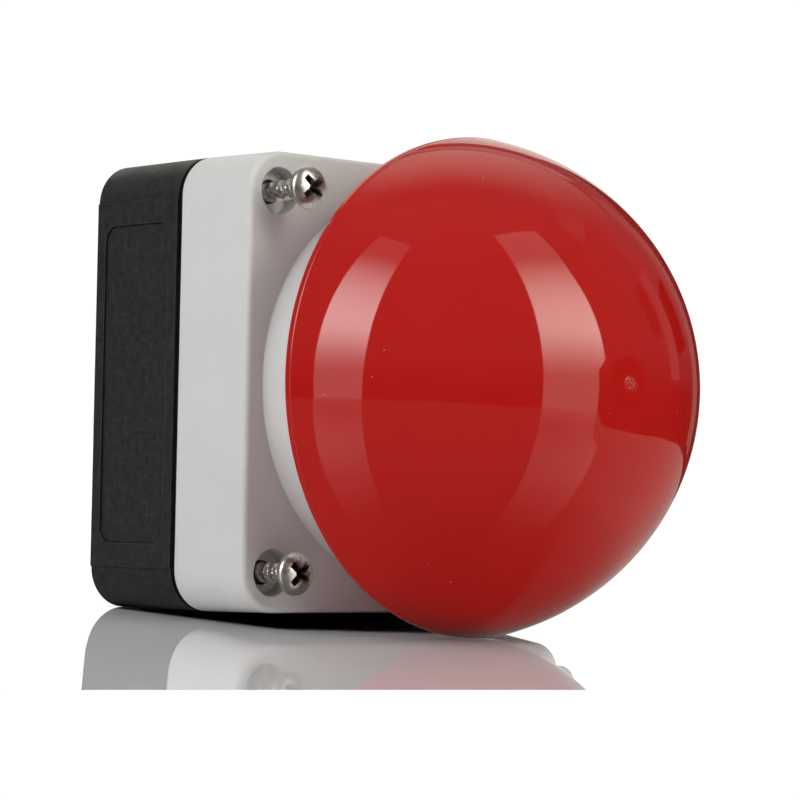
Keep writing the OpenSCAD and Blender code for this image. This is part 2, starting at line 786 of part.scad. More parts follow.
// Plunger of the closing block: a cage that carries the bridge in its window
module no_plunger() {
    color(closing_colour) at_block(-1) difference() {
        union() {
            plunger_top_part();
            block_slot(plunger_w, plunger_l, no_plunger_z, flange_z + cut);
        }
        block_slot(bridge_w + 2 * slide_gap, plunger_l + cut, no_window_z, no_window_top);
    }
}

module no_bridge() { color(brass_colour) at_block(-1) bridge(no_bridge_z, false); }

module no_return_spring() {
    color(steel_colour) at_block(-1) translate([0, 0, roof_t])
        small_coil(plunger_l / 2 - small_wire, no_plunger_z - roof_t);
}

module no_contact_spring() {
    bottom = no_bridge_z + bridge_t;
    color(steel_colour) at_block(-1) translate([0, 0, bottom])
        small_coil(bridge_w / 2 - small_wire, no_window_top - bottom);
}

module no_strip_upper() { color(brass_colour) at_block(-1) strip(no_strip_z, true); }

module no_strip_lower() { color(brass_colour) at_block(-1) mirror([0, 1, 0]) strip(no_strip_z, true); }

module no_clamps() { color(steel_colour) at_block(-1) both_ends() clamp(no_strip_z); }

module no_terminal_screws() { color(silver_colour) at_block(-1) both_ends() terminal_screw(no_strip_z); }

module nc_housing() { color(housing_colour) at_block(1) block_housing(nc_strip_z); }

module nc_lid() { color(housing_colour) at_block(1) block_lid(); }

// Plunger of the opening block: its push rod comes down on the bridge
module nc_plunger() {
    color(opening_colour) at_block(1) {
        plunger_top_part();
        block_slot(push_w, push_w, nc_push_z, flange_z + cut);
    }
}

module nc_bridge() { color(brass_colour) at_block(1) bridge(nc_bridge_z, true); }

module nc_plunger_spring() {
    bottom = nc_bridge_z + bridge_t;
    color(steel_colour) at_block(1) translate([0, 0, bottom])
        small_coil(push_spring_r, flange_z - bottom);
}

module nc_contact_spring() {
    color(steel_colour) at_block(1) translate([0, 0, roof_t])
        small_coil(bridge_w / 2 - small_wire, nc_bridge_z - roof_t);
}

module nc_strip_upper() { color(brass_colour) at_block(1) strip(nc_strip_z, false); }

module nc_strip_lower() { color(brass_colour) at_block(1) mirror([0, 1, 0]) strip(nc_strip_z, false); }

module nc_clamps() { color(steel_colour) at_block(1) both_ends() clamp(nc_strip_z); }

module nc_terminal_screws() { color(silver_colour) at_block(1) both_ends() terminal_screw(nc_strip_z); }

rear_base();
front_cover();
cover_gasket();
cover_screws();
dome_cap();
plunger_stem();
dome_screw();
return_spring();
stem_boot();
no_housing();
no_lid();
no_plunger();
no_bridge();
no_return_spring();
no_contact_spring();
no_strip_upper();
no_strip_lower();
no_clamps();
no_terminal_screws();
nc_housing();
nc_lid();
nc_plunger();
nc_bridge();
nc_plunger_spring();
nc_contact_spring();
nc_strip_upper();
nc_strip_lower();
nc_clamps();
nc_terminal_screws();
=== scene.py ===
import json
import math

import bmesh
import bpy
from mathutils import Matrix, Vector


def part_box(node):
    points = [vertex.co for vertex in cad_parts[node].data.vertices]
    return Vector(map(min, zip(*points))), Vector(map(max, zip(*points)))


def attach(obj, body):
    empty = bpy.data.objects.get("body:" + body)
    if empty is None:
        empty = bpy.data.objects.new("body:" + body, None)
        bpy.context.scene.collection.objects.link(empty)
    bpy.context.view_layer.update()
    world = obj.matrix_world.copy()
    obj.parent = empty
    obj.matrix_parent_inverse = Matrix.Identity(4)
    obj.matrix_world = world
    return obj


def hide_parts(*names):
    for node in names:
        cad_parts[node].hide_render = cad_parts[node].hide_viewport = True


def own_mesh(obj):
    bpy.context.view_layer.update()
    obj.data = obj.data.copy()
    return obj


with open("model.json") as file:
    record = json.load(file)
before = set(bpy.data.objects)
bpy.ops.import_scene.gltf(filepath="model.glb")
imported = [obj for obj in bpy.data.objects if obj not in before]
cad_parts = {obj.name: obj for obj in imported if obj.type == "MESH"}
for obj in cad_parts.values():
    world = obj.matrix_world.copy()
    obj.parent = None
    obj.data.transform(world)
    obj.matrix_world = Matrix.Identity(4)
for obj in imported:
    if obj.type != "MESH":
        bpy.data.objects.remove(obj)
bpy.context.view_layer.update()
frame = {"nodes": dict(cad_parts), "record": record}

# The part's frame: +Y into the wall, -Y out through the dome, +Z up, metres.
nodes = frame["nodes"]
scene = bpy.context.scene
MM = 0.001

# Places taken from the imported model
dome_low, dome_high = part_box("dome_cap")
base_low, base_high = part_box("rear_base")
cover_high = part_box("front_cover")[1]
screws_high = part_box("cover_screws")[1]
spring_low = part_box("return_spring")[0]
COVER_DEPTH = 20 * MM
FACE_Y = cover_high.y - COVER_DEPTH

# Meshes: points closer than the gap are welded, faces within an angle of each other are one plane, and edges
# sharper than the crisp angles stay crisp; angles in degrees
ON_AXIS = 1e-9
WELD_GAP = 1e-6
FLAT_WITHIN = 0.3
BASE_CRISP = 16
COVER_CRISP = 24
SPRING_CRISP = 50
DOME_CRISP = 40
SCREW_CRISP = 35

# Stroke of the dome, and of the contact bridges that it carries along
TRAVEL = 5.5 * MM
BRIDGE_TRAVEL = 3.3 * MM

# Dome: rim band with a rounded front edge, curve, wall, socket and ribs
RIM_R = dome_high.z
RIM_Y = dome_high.y
DOME_REACH = 57.4 * MM
TOP_Y = FACE_Y - DOME_REACH
RIM_BAND = 1.8 * MM
RIM_STEP = 0.15 * MM
RIM_EDGE = 0.4 * MM
BAND_ROUND = 0.6 * MM
CURVE_DROP = 12.5 * MM
DOME_WALL = 2.8 * MM
SOCKET_R = 8.05 * MM
SOCKET_WALL = 2.5 * MM
SOCKET_DEPTH = 12 * MM
CORE_LEN = 7.5 * MM
RIB_T = 2 * MM
RIB_COUNT = 6
RIB_TOP = math.radians(80)
DOME_STEPS = 224
OUTER_STEPS = 120
INNER_STEPS = 40
BAND_STEPS = 10
EDGE_STEPS = 6
RIB_STEPS = 12

# The dome's curve is an ellipse about the axis: its middle and half axes follow from the rim and the top
CURVE_Y = RIM_Y - RIM_BAND + CURVE_DROP
CURVE_B = CURVE_Y - TOP_Y
CURVE_A = (RIM_R - RIM_STEP) / math.cos(math.asin(CURVE_DROP / CURVE_B))
SOCKET_END_Y = TOP_Y + DOME_WALL + CORE_LEN
SOCKET_Y = SOCKET_END_Y + SOCKET_DEPTH

# Gate mark on a small flat: a broken-off ring in a shallow groove, with torn plastic about it
FLAT_R = 4.4 * MM
FLAT_LIFT = 0.01 * MM
FLAT_RINGS = (0.9, 0.6)
GATE_R = 0.86 * MM
GATE_HALF = 0.34 * MM
GATE_RISE = 0.3 * MM
GATE_FLOOR = 0.12 * MM
GATE_PIP = 1.3 * GATE_FLOOR
GATE_GROOVE_R = 1.9 * MM
GATE_GROOVE = 0.05 * MM
GATE_STEPS = 8
GATE_OVAL = 0.09
OVAL_TURN = 0.7
GATE_TILT = 0.05 * MM
TILT_TURN = 1.3
GATE_WAVE = 0.02 * MM
WAVE_COUNT = 5
WAVE_TWIST = 9
SCAR_R = 1.15 * MM
SCAR_END_R = 1.45 * MM

# Cover screws; the stands are how far the heads' undersides are from the cover's face
HEAD_D = 8 * MM
HEAD_H = 2.4 * MM
HEAD_EDGE = 0.4 * MM
HEAD_CHAMFER = 0.15 * MM
CHAMFER_H = 0.12 * MM
HEAD_STEPS = 64
CROWN_STEP = 6
SHANK_D = 3.9 * MM
SHANK_LEN = 30 * MM
TIP_LEN = 0.7 * SHANK_D
TIP_SHARE = 0.35
THREAD_ROOT = 2.7 * MM
THREAD_PITCH = 2.4 * MM
THREAD_RIDGE = 0.42
THREAD_STEEPNESS = 1.25
THREAD_AROUND = 36
THREAD_ROWS = 14
UPPER_STAND = 7.7 * MM
LOWER_STAND = 6.2 * MM
SCREW_TURNS = {(-1, 1): 43, (-1, -1): 47, (1, 1): 70, (1, -1): 25}

# Cross recess: four tapered wings, notches between them and four shallow marks
RECESS_FLOOR = 0.35 * MM
RECESS_REACH = 2.6 * MM
WING_HALF = 0.62 * MM
WING_SCALES = (0.42, 1.32)
NOTCH_R = 1.25 * MM
NOTCH_RISE = 0.5 * MM
NOTCH_SCALES = (0.4, 1.25)
CUT_PAST = 0.3 * MM
MARK_AT = 2.45 * MM
MARK_DROP = 0.28 * MM
MARK_TILT = math.radians(20)
MARK_SIZE = (1.1 * MM, 0.22 * MM, 0.35 * MM)

# Tones of wear, dust and scar, of painted shade and of a painted edge highlight, and what the plastics share
BORE_SHADE_TONE = (0.02, 0.02, 0.02)
SCUFF_TONE = (0.07, 0.07, 0.071)
GROOVE_SHADE_TONE = (0.003, 0.003, 0.003)
EDGE_HIGHLIGHT_TONE = (0.05, 0.05, 0.051)
DUST_TONE = (0.75, 0.5, 0.45)
SCAR_TONE = (0.52, 0.045, 0.041)
PLASTIC_IOR = 1.5
MOULDED_EDGE = 0.35 * MM
WORN_EDGE = 0.3 * MM
WORN_SPECULAR = 0.27


# Mesh helpers

def add_object(name, mesh):
    """Links a mesh to the scene as a new object."""
    obj = bpy.data.objects.new(name, mesh)
    scene.collection.objects.link(obj)
    return obj


def mesh_from(name, verts, faces):
    """Mesh of listed points and faces."""
    mesh = bpy.data.meshes.new(name)
    mesh.from_pydata(verts, [], faces)
    mesh.validate()
    return mesh


def mesh_of(bm, name):
    """Mesh of a finished bmesh, which is freed."""
    mesh = bpy.data.meshes.new(name)
    bm.to_mesh(mesh)
    bm.free()
    return mesh


def lathe(profile, steps):
    """Turns (radius, y) points about the Y axis; a radius of 0 becomes one pole point."""
    verts, faces, rings = [], [], []
    for r, y in profile:
        if r < ON_AXIS:
            rings.append([len(verts)] * steps)
            verts.append((0.0, y, 0.0))
            continue
        start = len(verts)
        rings.append([start + i for i in range(steps)])
        for i in range(steps):
            a = 2 * math.pi * i / steps
            verts.append((r * math.cos(a), y, r * math.sin(a)))
    for low, high in zip(rings, rings[1:]):
        for i in range(steps):
            k = (i + 1) % steps
            corners = [low[i], low[k], high[k], high[i]]
            faces.append(list(dict.fromkeys(corners)))
    return verts, faces


def add_to(bm, verts, faces):
    """Adds listed points and faces to a bmesh."""
    made = [bm.verts.new(v) for v in verts]
    for f in faces:
        bm.faces.new([made[i] for i in f])


def join_rings(bm, rings):
    """Skin over rings with equal counts of points, closed at both ends."""
    count = len(rings[0])
    for low, high in zip(rings, rings[1:]):
        for i in range(count):
            j = (i + 1) % count
            bm.faces.new((low[i], low[j], high[j], high[i]))
    bm.faces.new(list(reversed(rings[0])))
    bm.faces.new(rings[-1])


def finish_bmesh(bm, name, crisp):
    """Makes an object of the mesh: smooth, with edges sharper than an angle in degrees kept crisp."""
    limit = math.radians(crisp)
    bmesh.ops.recalc_face_normals(bm, faces=bm.faces)
    for face in bm.faces:
        face.smooth = True
    for edge in bm.edges:
        edge.smooth = len(edge.link_faces) == 2 and edge.calc_face_angle(0.0) < limit
    mesh = mesh_of(bm, name)
    stale = mesh.attributes.get("custom_normal")
    if stale:
        mesh.attributes.remove(stale)
    return add_object(name, mesh)


def keep_flats_flat(obj):
    """Lets large faces rule the normals at their edges, so that they shade as planes."""
    weights = obj.modifiers.new("flat_faces", "WEIGHTED_NORMAL")
    weights.mode = "FACE_AREA"
    weights.weight = 50
    weights.keep_sharp = True


def arc(cx, cy, r, start, end, steps):
    """Points on a circle, angles in degrees."""
    angles = [math.radians(start + (end - start) * i / steps) for i in range(steps + 1)]
    return [(cx + r * math.cos(a), cy + r * math.sin(a)) for a in angles]


# Material helpers

def new_material(name):
    """Material with its node tree and its shader."""
    mat = bpy.data.materials.new(name)
    mat.use_nodes = True
    tree = mat.node_tree
    return mat, tree, tree.nodes["Principled BSDF"]


def object_coords(tree):
    return tree.nodes.new("ShaderNodeTexCoord").outputs["Object"]


def feed(tree, socket, value):
    """Links a socket to a value, or sets it to a constant."""
    if isinstance(value, bpy.types.NodeSocket):
        tree.links.new(value, socket)
    else:
        socket.default_value = value


def math_node(tree, operation, *values):
    """Result of an operation on numbers."""
    node = tree.nodes.new("ShaderNodeMath")
    node.operation = operation
    for socket, value in zip(node.inputs, values):
        feed(tree, socket, value)
    return node.outputs["Value"]


def vector_node(tree, operation, *values):
    """Result of an operation on vectors; a length and a dot product are numbers."""
    node = tree.nodes.new("ShaderNodeVectorMath")
    node.operation = operation
    for socket, value in zip(node.inputs, values):
        feed(tree, socket, value)
    return node.outputs["Value" if operation in ("LENGTH", "DOT_PRODUCT") else "Vector"]


def product(tree, first, *others):
    """All the values multiplied."""
    for value in others:
        first = math_node(tree, "MULTIPLY", first, value)
    return first


def remap(tree, value, low, high, to_low, to_high, change="LINEAR"):
    """Carries the range from low to high over to another one, and stops at its ends."""
    node = tree.nodes.new("ShaderNodeMapRange")
    node.interpolation_type = change
    node.inputs["From Min"].default_value = low
    node.inputs["From Max"].default_value = high
    node.inputs["To Min"].default_value = to_low
    node.inputs["To Max"].default_value = to_high
    tree.links.new(value, node.inputs["Value"])
    return node.outputs["Result"]


def ramp(tree, value, low, high, to_low, to_high):
    """As remap, with a gentle start and end."""
    return remap(tree, value, low, high, to_low, to_high, "SMOOTHSTEP")


def noise(tree, coords, size, detail=4.0, rough=0.5):
    """Noise with features of about the given size in metres."""
    node = tree.nodes.new("ShaderNodeTexNoise")
    node.inputs["Scale"].default_value = 1.0 / size
    node.inputs["Detail"].default_value = detail
    node.inputs["Roughness"].default_value = rough
    tree.links.new(coords, node.inputs["Vector"])
    return node.outputs["Fac"]


def clouds(tree, coords, size, detail):
    """Soft patches from 0 to 1."""
    return remap(tree, noise(tree, coords, size, detail), 0.35, 0.65, 0.0, 1.0)


def uneven(tree, pattern, value, less, more):
    """A value that varies with a noise pattern by these amounts."""
    return remap(tree, pattern, 0.3, 0.7, value - less, value + more)


def mix_colour(tree, factor, first, second):
    """Blends two colours; either may be a socket."""
    node = tree.nodes.new("ShaderNodeMix")
    node.data_type = "RGBA"
    tree.links.new(factor, node.inputs["Factor"])
    for socket, value in ((node.inputs[6], first), (node.inputs[7], second)):
        feed(tree, socket, (*value, 1.0) if isinstance(value, tuple) else value)
    return node.outputs[2]


def bump(tree, height, strength, distance, under=None):
    """Normal of a height pattern, over another normal where one is given."""
    node = tree.nodes.new("ShaderNodeBump")
    node.inputs["Strength"].default_value = strength
    node.inputs["Distance"].default_value = distance
    tree.links.new(height, node.inputs["Height"])
    if under is not None:
        tree.links.new(under, node.inputs["Normal"])
    return node.outputs["Normal"]


def soft_edges(tree, radius):
    """Normals rounded over the solid's edges."""
    node = tree.nodes.new("ShaderNodeBevel")
    node.samples = 6
    node.inputs["Radius"].default_value = radius
    return node.outputs["Normal"]


def mould_grain(tree, coords, size, height, edge):
    """Normal of an eroded mould's grain, with softened edges."""
    fine = noise(tree, coords, size, detail=3.0, rough=0.65)
    return bump(tree, fine, strength=0.5, distance=height, under=soft_edges(tree, edge))


def hollows(tree, reach, inside=False):
    """Share of open surroundings within a distance; inside, the edges that stand out count as closed."""
    node = tree.nodes.new("ShaderNodeAmbientOcclusion")
    node.samples = 12
    node.only_local = True
    node.inside = inside
    node.inputs["Distance"].default_value = reach
    return node.outputs["AO"]


# Materials of the part

def moulded_plastic(name, colour, tint, roughness, grain, grain_height):
    """Moulded plastic: eroded grain, slow colour drift, painted shade in deep narrow bores and uneven gloss.
    """
    mat, tree, shader = new_material(name)
    coords = object_coords(tree)
    drift = clouds(tree, coords, 14 * MM, detail=3.0)
    # Painted shade: deep narrow bores are darkened towards a near-black tone
    bore_shade = remap(tree, hollows(tree, 8 * MM), 0.12, 0.3, 1.0, 0.0)
    body = mix_colour(tree, bore_shade, mix_colour(tree, drift, colour, tint), BORE_SHADE_TONE)
    tree.links.new(body, shader.inputs["Base Color"])
    smears = noise(tree, coords, 6 * MM, detail=5.0, rough=0.6)
    gloss = uneven(tree, smears, roughness, less=0.05, more=0.06)
    tree.links.new(gloss, shader.inputs["Roughness"])
    shader.inputs["IOR"].default_value = PLASTIC_IOR
    normal = mould_grain(tree, coords, grain, grain_height, MOULDED_EDGE)
    tree.links.new(normal, shader.inputs["Normal"])
    return mat


def worn_plastic(name, colour, tint, roughness, grain, grain_height):
    """Moulding matt from use: mottled, with thin curved scuffs, painted shade in grooves and a painted
    highlight on edges.
    """
    mat, tree, shader = new_material(name)
    coords = object_coords(tree)
    speckle = noise(tree, coords, 1.3 * MM, detail=6.0, rough=0.75)
    mottle = remap(tree, speckle, 0.38, 0.62, 0.0, 1.0)
    body = mix_colour(tree, mottle, colour, tint)
    level = noise(tree, coords, 11 * MM, detail=2.0, rough=0.4)
    beside = math_node(tree, "ABSOLUTE", math_node(tree, "SUBTRACT", level, 0.5))
    line = remap(tree, beside, 0.0, 0.004, 0.5, 0.0)
    places = remap(tree, noise(tree, coords, 7 * MM, detail=1.0), 0.52, 0.6, 0.0, 1.0)
    scuffed = mix_colour(tree, product(tree, line, places), body, SCUFF_TONE)
    # Painted shade: grooves and inside corners are darkened
    groove_shade = remap(tree, hollows(tree, 0.6 * MM), 0.55, 0.92, 1.0, 0.0)
    groove_shaded = mix_colour(tree, groove_shade, scuffed, GROOVE_SHADE_TONE)
    # Painted highlight: convex edges are lightened as if they caught the light
    edge_highlight = remap(tree, hollows(tree, 0.5 * MM, inside=True), 0.5, 0.72, 1.0, 0.0)
    tree.links.new(mix_colour(tree, edge_highlight, groove_shaded, EDGE_HIGHLIGHT_TONE), shader.inputs["Base Color"])
    smears = noise(tree, coords, 4 * MM, detail=5.0, rough=0.6)
    gloss = uneven(tree, smears, roughness, less=0.06, more=0.08)
    tree.links.new(gloss, shader.inputs["Roughness"])
    shader.inputs["Specular IOR Level"].default_value = WORN_SPECULAR
    normal = mould_grain(tree, coords, grain, grain_height, WORN_EDGE)
    tree.links.new(normal, shader.inputs["Normal"])
    return mat


def gate_scar(tree, coords):
    """Share of torn, paler plastic about the dome's axis, where the gate was cut off."""
    radius = vector_node(tree, "LENGTH", vector_node(tree, "MULTIPLY", coords, (1.0, 0.0, 1.0)))
    near = remap(tree, radius, SCAR_R, SCAR_END_R, 1.0, 0.0)
    shreds = noise(tree, coords, 0.5 * MM, detail=3.0, rough=0.6)
    torn = remap(tree, shreds, 0.38, 0.6, 0.05, 0.9)
    return product(tree, near, torn)


def polished_plastic(name, colour, tint, roughness):
    """Glossy moulding: faint flow shading, a trace of orange peel, specks of dust and the gate's scar."""
    mat, tree, shader = new_material(name)
    coords = object_coords(tree)
    body = mix_colour(tree, clouds(tree, coords, 30 * MM, detail=2.0), colour, tint)
    cells = tree.nodes.new("ShaderNodeTexVoronoi")
    cells.inputs["Scale"].default_value = 1.0 / (5.5 * MM)
    tree.links.new(coords, cells.inputs["Vector"])
    speck = remap(tree, cells.outputs["Distance"], 0.028, 0.04, 0.22, 0.0)
    dusty = mix_colour(tree, speck, body, DUST_TONE)
    scar = gate_scar(tree, coords)
    tree.links.new(mix_colour(tree, scar, dusty, SCAR_TONE), shader.inputs["Base Color"])
    smears = noise(tree, coords, 12 * MM, detail=5.0, rough=0.6)
    haze = uneven(tree, smears, roughness, less=0.0, more=0.02)
    matt = remap(tree, scar, 0.0, 1.0, 0.0, 0.3)
    tree.links.new(math_node(tree, "ADD", haze, matt), shader.inputs["Roughness"])
    shader.inputs["IOR"].default_value = PLASTIC_IOR
    peel = bump(tree, noise(tree, coords, 7 * MM, detail=1.0), strength=0.05, distance=0.1 * MM)
    tree.links.new(peel, shader.inputs["Normal"])
    return mat


def metal(name, colour, tint, roughness):
    """Plated or drawn metal: cloudy tint, fine scratches and uneven gloss."""
    mat, tree, shader = new_material(name)
    coords = object_coords(tree)
    plating = mix_colour(tree, clouds(tree, coords, 2.5 * MM, detail=4.0), colour, tint)
    tree.links.new(plating, shader.inputs["Base Color"])
    shader.inputs["Metallic"].default_value = 1.0
    worn = noise(tree, coords, 1.2 * MM, detail=6.0, rough=0.7)
    gloss = uneven(tree, worn, roughness, less=0.06, more=0.1)
    tree.links.new(gloss, shader.inputs["Roughness"])
    scratches = bump(tree, worn, strength=0.12, distance=0.03 * MM)
    tree.links.new(scratches, shader.inputs["Normal"])
    return mat


def screw_metal(name, colour, tint, recess_tone, roughness):
    """Plated screws, darker and matter in the recess and between the threads."""
    mat, tree, shader = new_material(name)
    coords = object_coords(tree)
    plating = mix_colour(tree, clouds(tree, coords, 2.5 * MM, detail=4.0), colour, tint)
    # Darker and matter where closed in: the recess and between the threads
    closed = remap(tree, hollows(tree, 1.6 * MM), 0.5, 0.86, 1.0, 0.0)
    tree.links.new(mix_colour(tree, closed, plating, recess_tone), shader.inputs["Base Color"])
    shader.inputs["Metallic"].default_value = 1.0
    worn = noise(tree, coords, 1.2 * MM, detail=6.0, rough=0.7)
    gloss = uneven(tree, worn, roughness, less=0.05, more=0.08)
    matt = remap(tree, closed, 0.0, 1.0, 0.0, 0.3)
    tree.links.new(math_node(tree, "ADD", gloss, matt), shader.inputs["Roughness"])
    scratches = bump(tree, worn, strength=0.12, distance=0.03 * MM)
    tree.links.new(scratches, shader.inputs["Normal"])
    return mat


def rubber(name, colour, tint):
    """Dull rubber with a pale bloom."""
    mat, tree, shader = new_material(name)
    coords = object_coords(tree)
    bloom = remap(tree, noise(tree, coords, 4 * MM, detail=5.0), 0.35, 0.7, 0.0, 1.0)
    tree.links.new(mix_colour(tree, bloom, colour, tint), shader.inputs["Base Color"])
    tree.links.new(remap(tree, bloom, 0.0, 1.0, 0.55, 0.75), shader.inputs["Roughness"])
    grain = bump(tree, noise(tree, coords, 0.3 * MM), strength=0.3, distance=0.02 * MM)
    tree.links.new(grain, shader.inputs["Normal"])
    return mat


MATERIALS = {
    "base_black": worn_plastic(
        "base_black", (0.0125, 0.0125, 0.0127), (0.0255, 0.0255, 0.026),
        roughness=0.46, grain=0.35 * MM, grain_height=0.03 * MM),
    "cover_grey": moulded_plastic(
        "cover_grey", (0.552, 0.559, 0.566), (0.57, 0.577, 0.584),
        roughness=0.44, grain=0.4 * MM, grain_height=0.02 * MM),
    "dome_red": polished_plastic(
        "dome_red", (0.382, 0.0087, 0.0069), (0.405, 0.0095, 0.0073), roughness=0.025),
    "screw_steel": screw_metal(
        "screw_steel", (0.80, 0.765, 0.715), (0.70, 0.67, 0.63),
        recess_tone=(0.105, 0.068, 0.052), roughness=0.28),
    "spring_steel": metal("spring_steel", (0.5, 0.5, 0.52), (0.42, 0.42, 0.44), roughness=0.32),
    "seal_rubber": rubber("seal_rubber", (0.012, 0.012, 0.012), (0.03, 0.03, 0.03)),
    "stem_white": moulded_plastic(
        "stem_white", (0.72, 0.7, 0.64), (0.76, 0.74, 0.69),
        roughness=0.4, grain=0.6 * MM, grain_height=0.01 * MM),
    "block_grey": moulded_plastic(
        "block_grey", (0.07, 0.073, 0.078), (0.085, 0.088, 0.092),
        roughness=0.5, grain=0.4 * MM, grain_height=0.02 * MM),
    "plunger_green": moulded_plastic(
        "plunger_green", (0.01, 0.2, 0.05), (0.015, 0.23, 0.06),
        roughness=0.4, grain=0.4 * MM, grain_height=0.01 * MM),
    "plunger_red": moulded_plastic(
        "plunger_red", (0.45, 0.012, 0.01), (0.5, 0.016, 0.012),
        roughness=0.4, grain=0.4 * MM, grain_height=0.01 * MM),
    "contact_brass": metal("contact_brass", (0.78, 0.55, 0.22), (0.68, 0.47, 0.2), roughness=0.28),
}


def dress(obj, slot):
    """Gives an object the finish of a material slot."""
    obj.data.materials.clear()
    obj.data.materials.append(MATERIALS[slot])


# Carried-over solids: each gets the finish of its material slot
for part in frame["record"]["subparts"]:
    dress(nodes[part["node"]], part["material_slot"])


# Base and cover: their own solids, smoothed

def welded_copy(node, name, body, slot, crisp):
    """The same solid with its facets joined and smoothed, in the solid's place."""
    bm = bmesh.new()
    bm.from_mesh(nodes[node].data)
    bmesh.ops.remove_doubles(bm, verts=bm.verts, dist=WELD_GAP)
    bmesh.ops.dissolve_limit(bm, angle_limit=math.radians(FLAT_WITHIN), verts=bm.verts, edges=bm.edges)
    obj = finish_bmesh(bm, name, crisp)
    dress(obj, slot)
    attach(obj, body)
    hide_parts(node)
    return obj


keep_flats_flat(welded_copy("rear_base", "base_moulding", "enclosure", "base_black", BASE_CRISP))
keep_flats_flat(welded_copy("front_cover", "cover_moulding", "enclosure", "cover_grey", COVER_CRISP))


# Springs and boot: node, name, body, slot, the end that stays and how far the other end comes closer
FRONT_END = 0
REAR_END = 1
SPRUNG = (
    ("return_spring", "return_spring_wire", "enclosure", "spring_steel", REAR_END, TRAVEL),
    ("stem_boot", "stem_boot_rubber", "enclosure", "seal_rubber", REAR_END, TRAVEL),
    ("no_return_spring", "no_return_spring_wire", "enclosure", "spring_steel", REAR_END, TRAVEL),
    ("nc_contact_spring", "nc_contact_spring_wire", "enclosure", "spring_steel", REAR_END, BRIDGE_TRAVEL),
    ("no_contact_spring", "no_contact_spring_wire", "closing_plunger", "spring_steel",
     FRONT_END, TRAVEL - BRIDGE_TRAVEL),
    ("nc_plunger_spring", "nc_plunger_spring_wire", "opening_plunger", "spring_steel",
     FRONT_END, TRAVEL - BRIDGE_TRAVEL),
)


def build_sprung():
    """Smoothed springs and boot, each with a mesh of its own."""
    for node, name, body, slot, fixed_end, shortening in SPRUNG:
        obj = welded_copy(node, name, body, slot, SPRING_CRISP)
        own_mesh(obj)


build_sprung()


# Dome: one turned shell with socket, rim band and gate mark, and ribs inside

def curve_point(angle, inset):
    """Point of the curve, or of one that lies inside it."""
    return (
        (CURVE_A - inset) * math.cos(angle),
        CURVE_Y - (CURVE_B - inset) * math.sin(angle),
    )


def curve(inset, start, end, steps):
    return [curve_point(start + (end - start) * i / steps, inset) for i in range(steps + 1)]


def curve_angle_at_radius(r, inset):
    return math.acos(r / (CURVE_A - inset))


def curve_angle_at_y(y, inset):
    return math.asin((CURVE_Y - y) / (CURVE_B - inset))


def gate_profile():
    """Flat at the top of the dome, with the ring that the gate left in a shallow groove."""
    flat_y = curve_point(curve_angle_at_radius(FLAT_R, 0.0), 0.0)[1] - FLAT_LIFT
    profile = [(FLAT_R * share, flat_y) for share in FLAT_RINGS]
    foot = GATE_R + GATE_HALF
    for i in range(GATE_STEPS + 1):
        share = i / GATE_STEPS
        dip = GATE_GROOVE * (0.5 - 0.5 * math.cos(2 * math.pi * share))
        profile.append((GATE_GROOVE_R + (foot - GATE_GROOVE_R) * share, flat_y + dip))
    for i in range(1, 2 * GATE_STEPS + 1):
        share = 1.0 - i / GATE_STEPS
        low = 0.0 if share > 0 else GATE_FLOOR
        rise = low + (GATE_RISE - low) * (0.5 + 0.5 * math.cos(math.pi * share))
        profile.append((GATE_R + GATE_HALF * share, flat_y - rise))
    inner = GATE_R - GATE_HALF
    profile += [(inner * k / 4, flat_y - GATE_FLOOR) for k in (3, 2, 1)]
    return profile + [(0.0, flat_y - GATE_PIP)]


def dome_profile():
    """From the bottom of the socket, down the inside, round the rim and up to the top."""
    band_y = RIM_Y - RIM_BAND
    boss_r = SOCKET_R + SOCKET_WALL
    start_out = curve_angle_at_y(band_y, 0.0)
    turn = math.degrees(math.acos(1 - RIM_STEP / BAND_ROUND))
    start_in = curve_angle_at_y(band_y, DOME_WALL)
    inner = curve(DOME_WALL, curve_angle_at_radius(boss_r, DOME_WALL), start_in, INNER_STEPS)
    rim = [(RIM_R - DOME_WALL, RIM_Y)]
    rim += arc(RIM_R - RIM_EDGE, RIM_Y - RIM_EDGE, RIM_EDGE, 90, 0, EDGE_STEPS)
    rim += arc(RIM_R - BAND_ROUND, band_y + BAND_ROUND, BAND_ROUND, 0, -turn, BAND_STEPS)
    outer = curve(0.0, start_out, curve_angle_at_radius(FLAT_R, 0.0), OUTER_STEPS)
    socket = [(0.0, SOCKET_END_Y), (SOCKET_R, SOCKET_END_Y), (SOCKET_R, SOCKET_Y), (boss_r, SOCKET_Y)]
    return socket + inner + rim + outer + gate_profile()


def dome_rib(angle):
    """Plate from the socket to the shell, resting on the return spring."""
    low_y = spring_low.y
    inset = DOME_WALL / 2
    boss_r = SOCKET_R + SOCKET_WALL / 2
    outline = [(boss_r, low_y)]
    outline += curve(inset, curve_angle_at_y(low_y, inset), RIB_TOP, RIB_STEPS)
    outline += [(boss_r, TOP_Y + DOME_WALL)]
    count = len(outline)
    turn = Matrix.Rotation(angle, 4, "Y")
    verts = [turn @ Vector((r, y, side)) for side in (-RIB_T / 2, RIB_T / 2) for r, y in outline]
    faces = [list(range(count)), list(range(2 * count - 1, count - 1, -1))]
    faces += [[i, i + count, (i + 1) % count + count, (i + 1) % count] for i in range(count)]
    return verts, faces


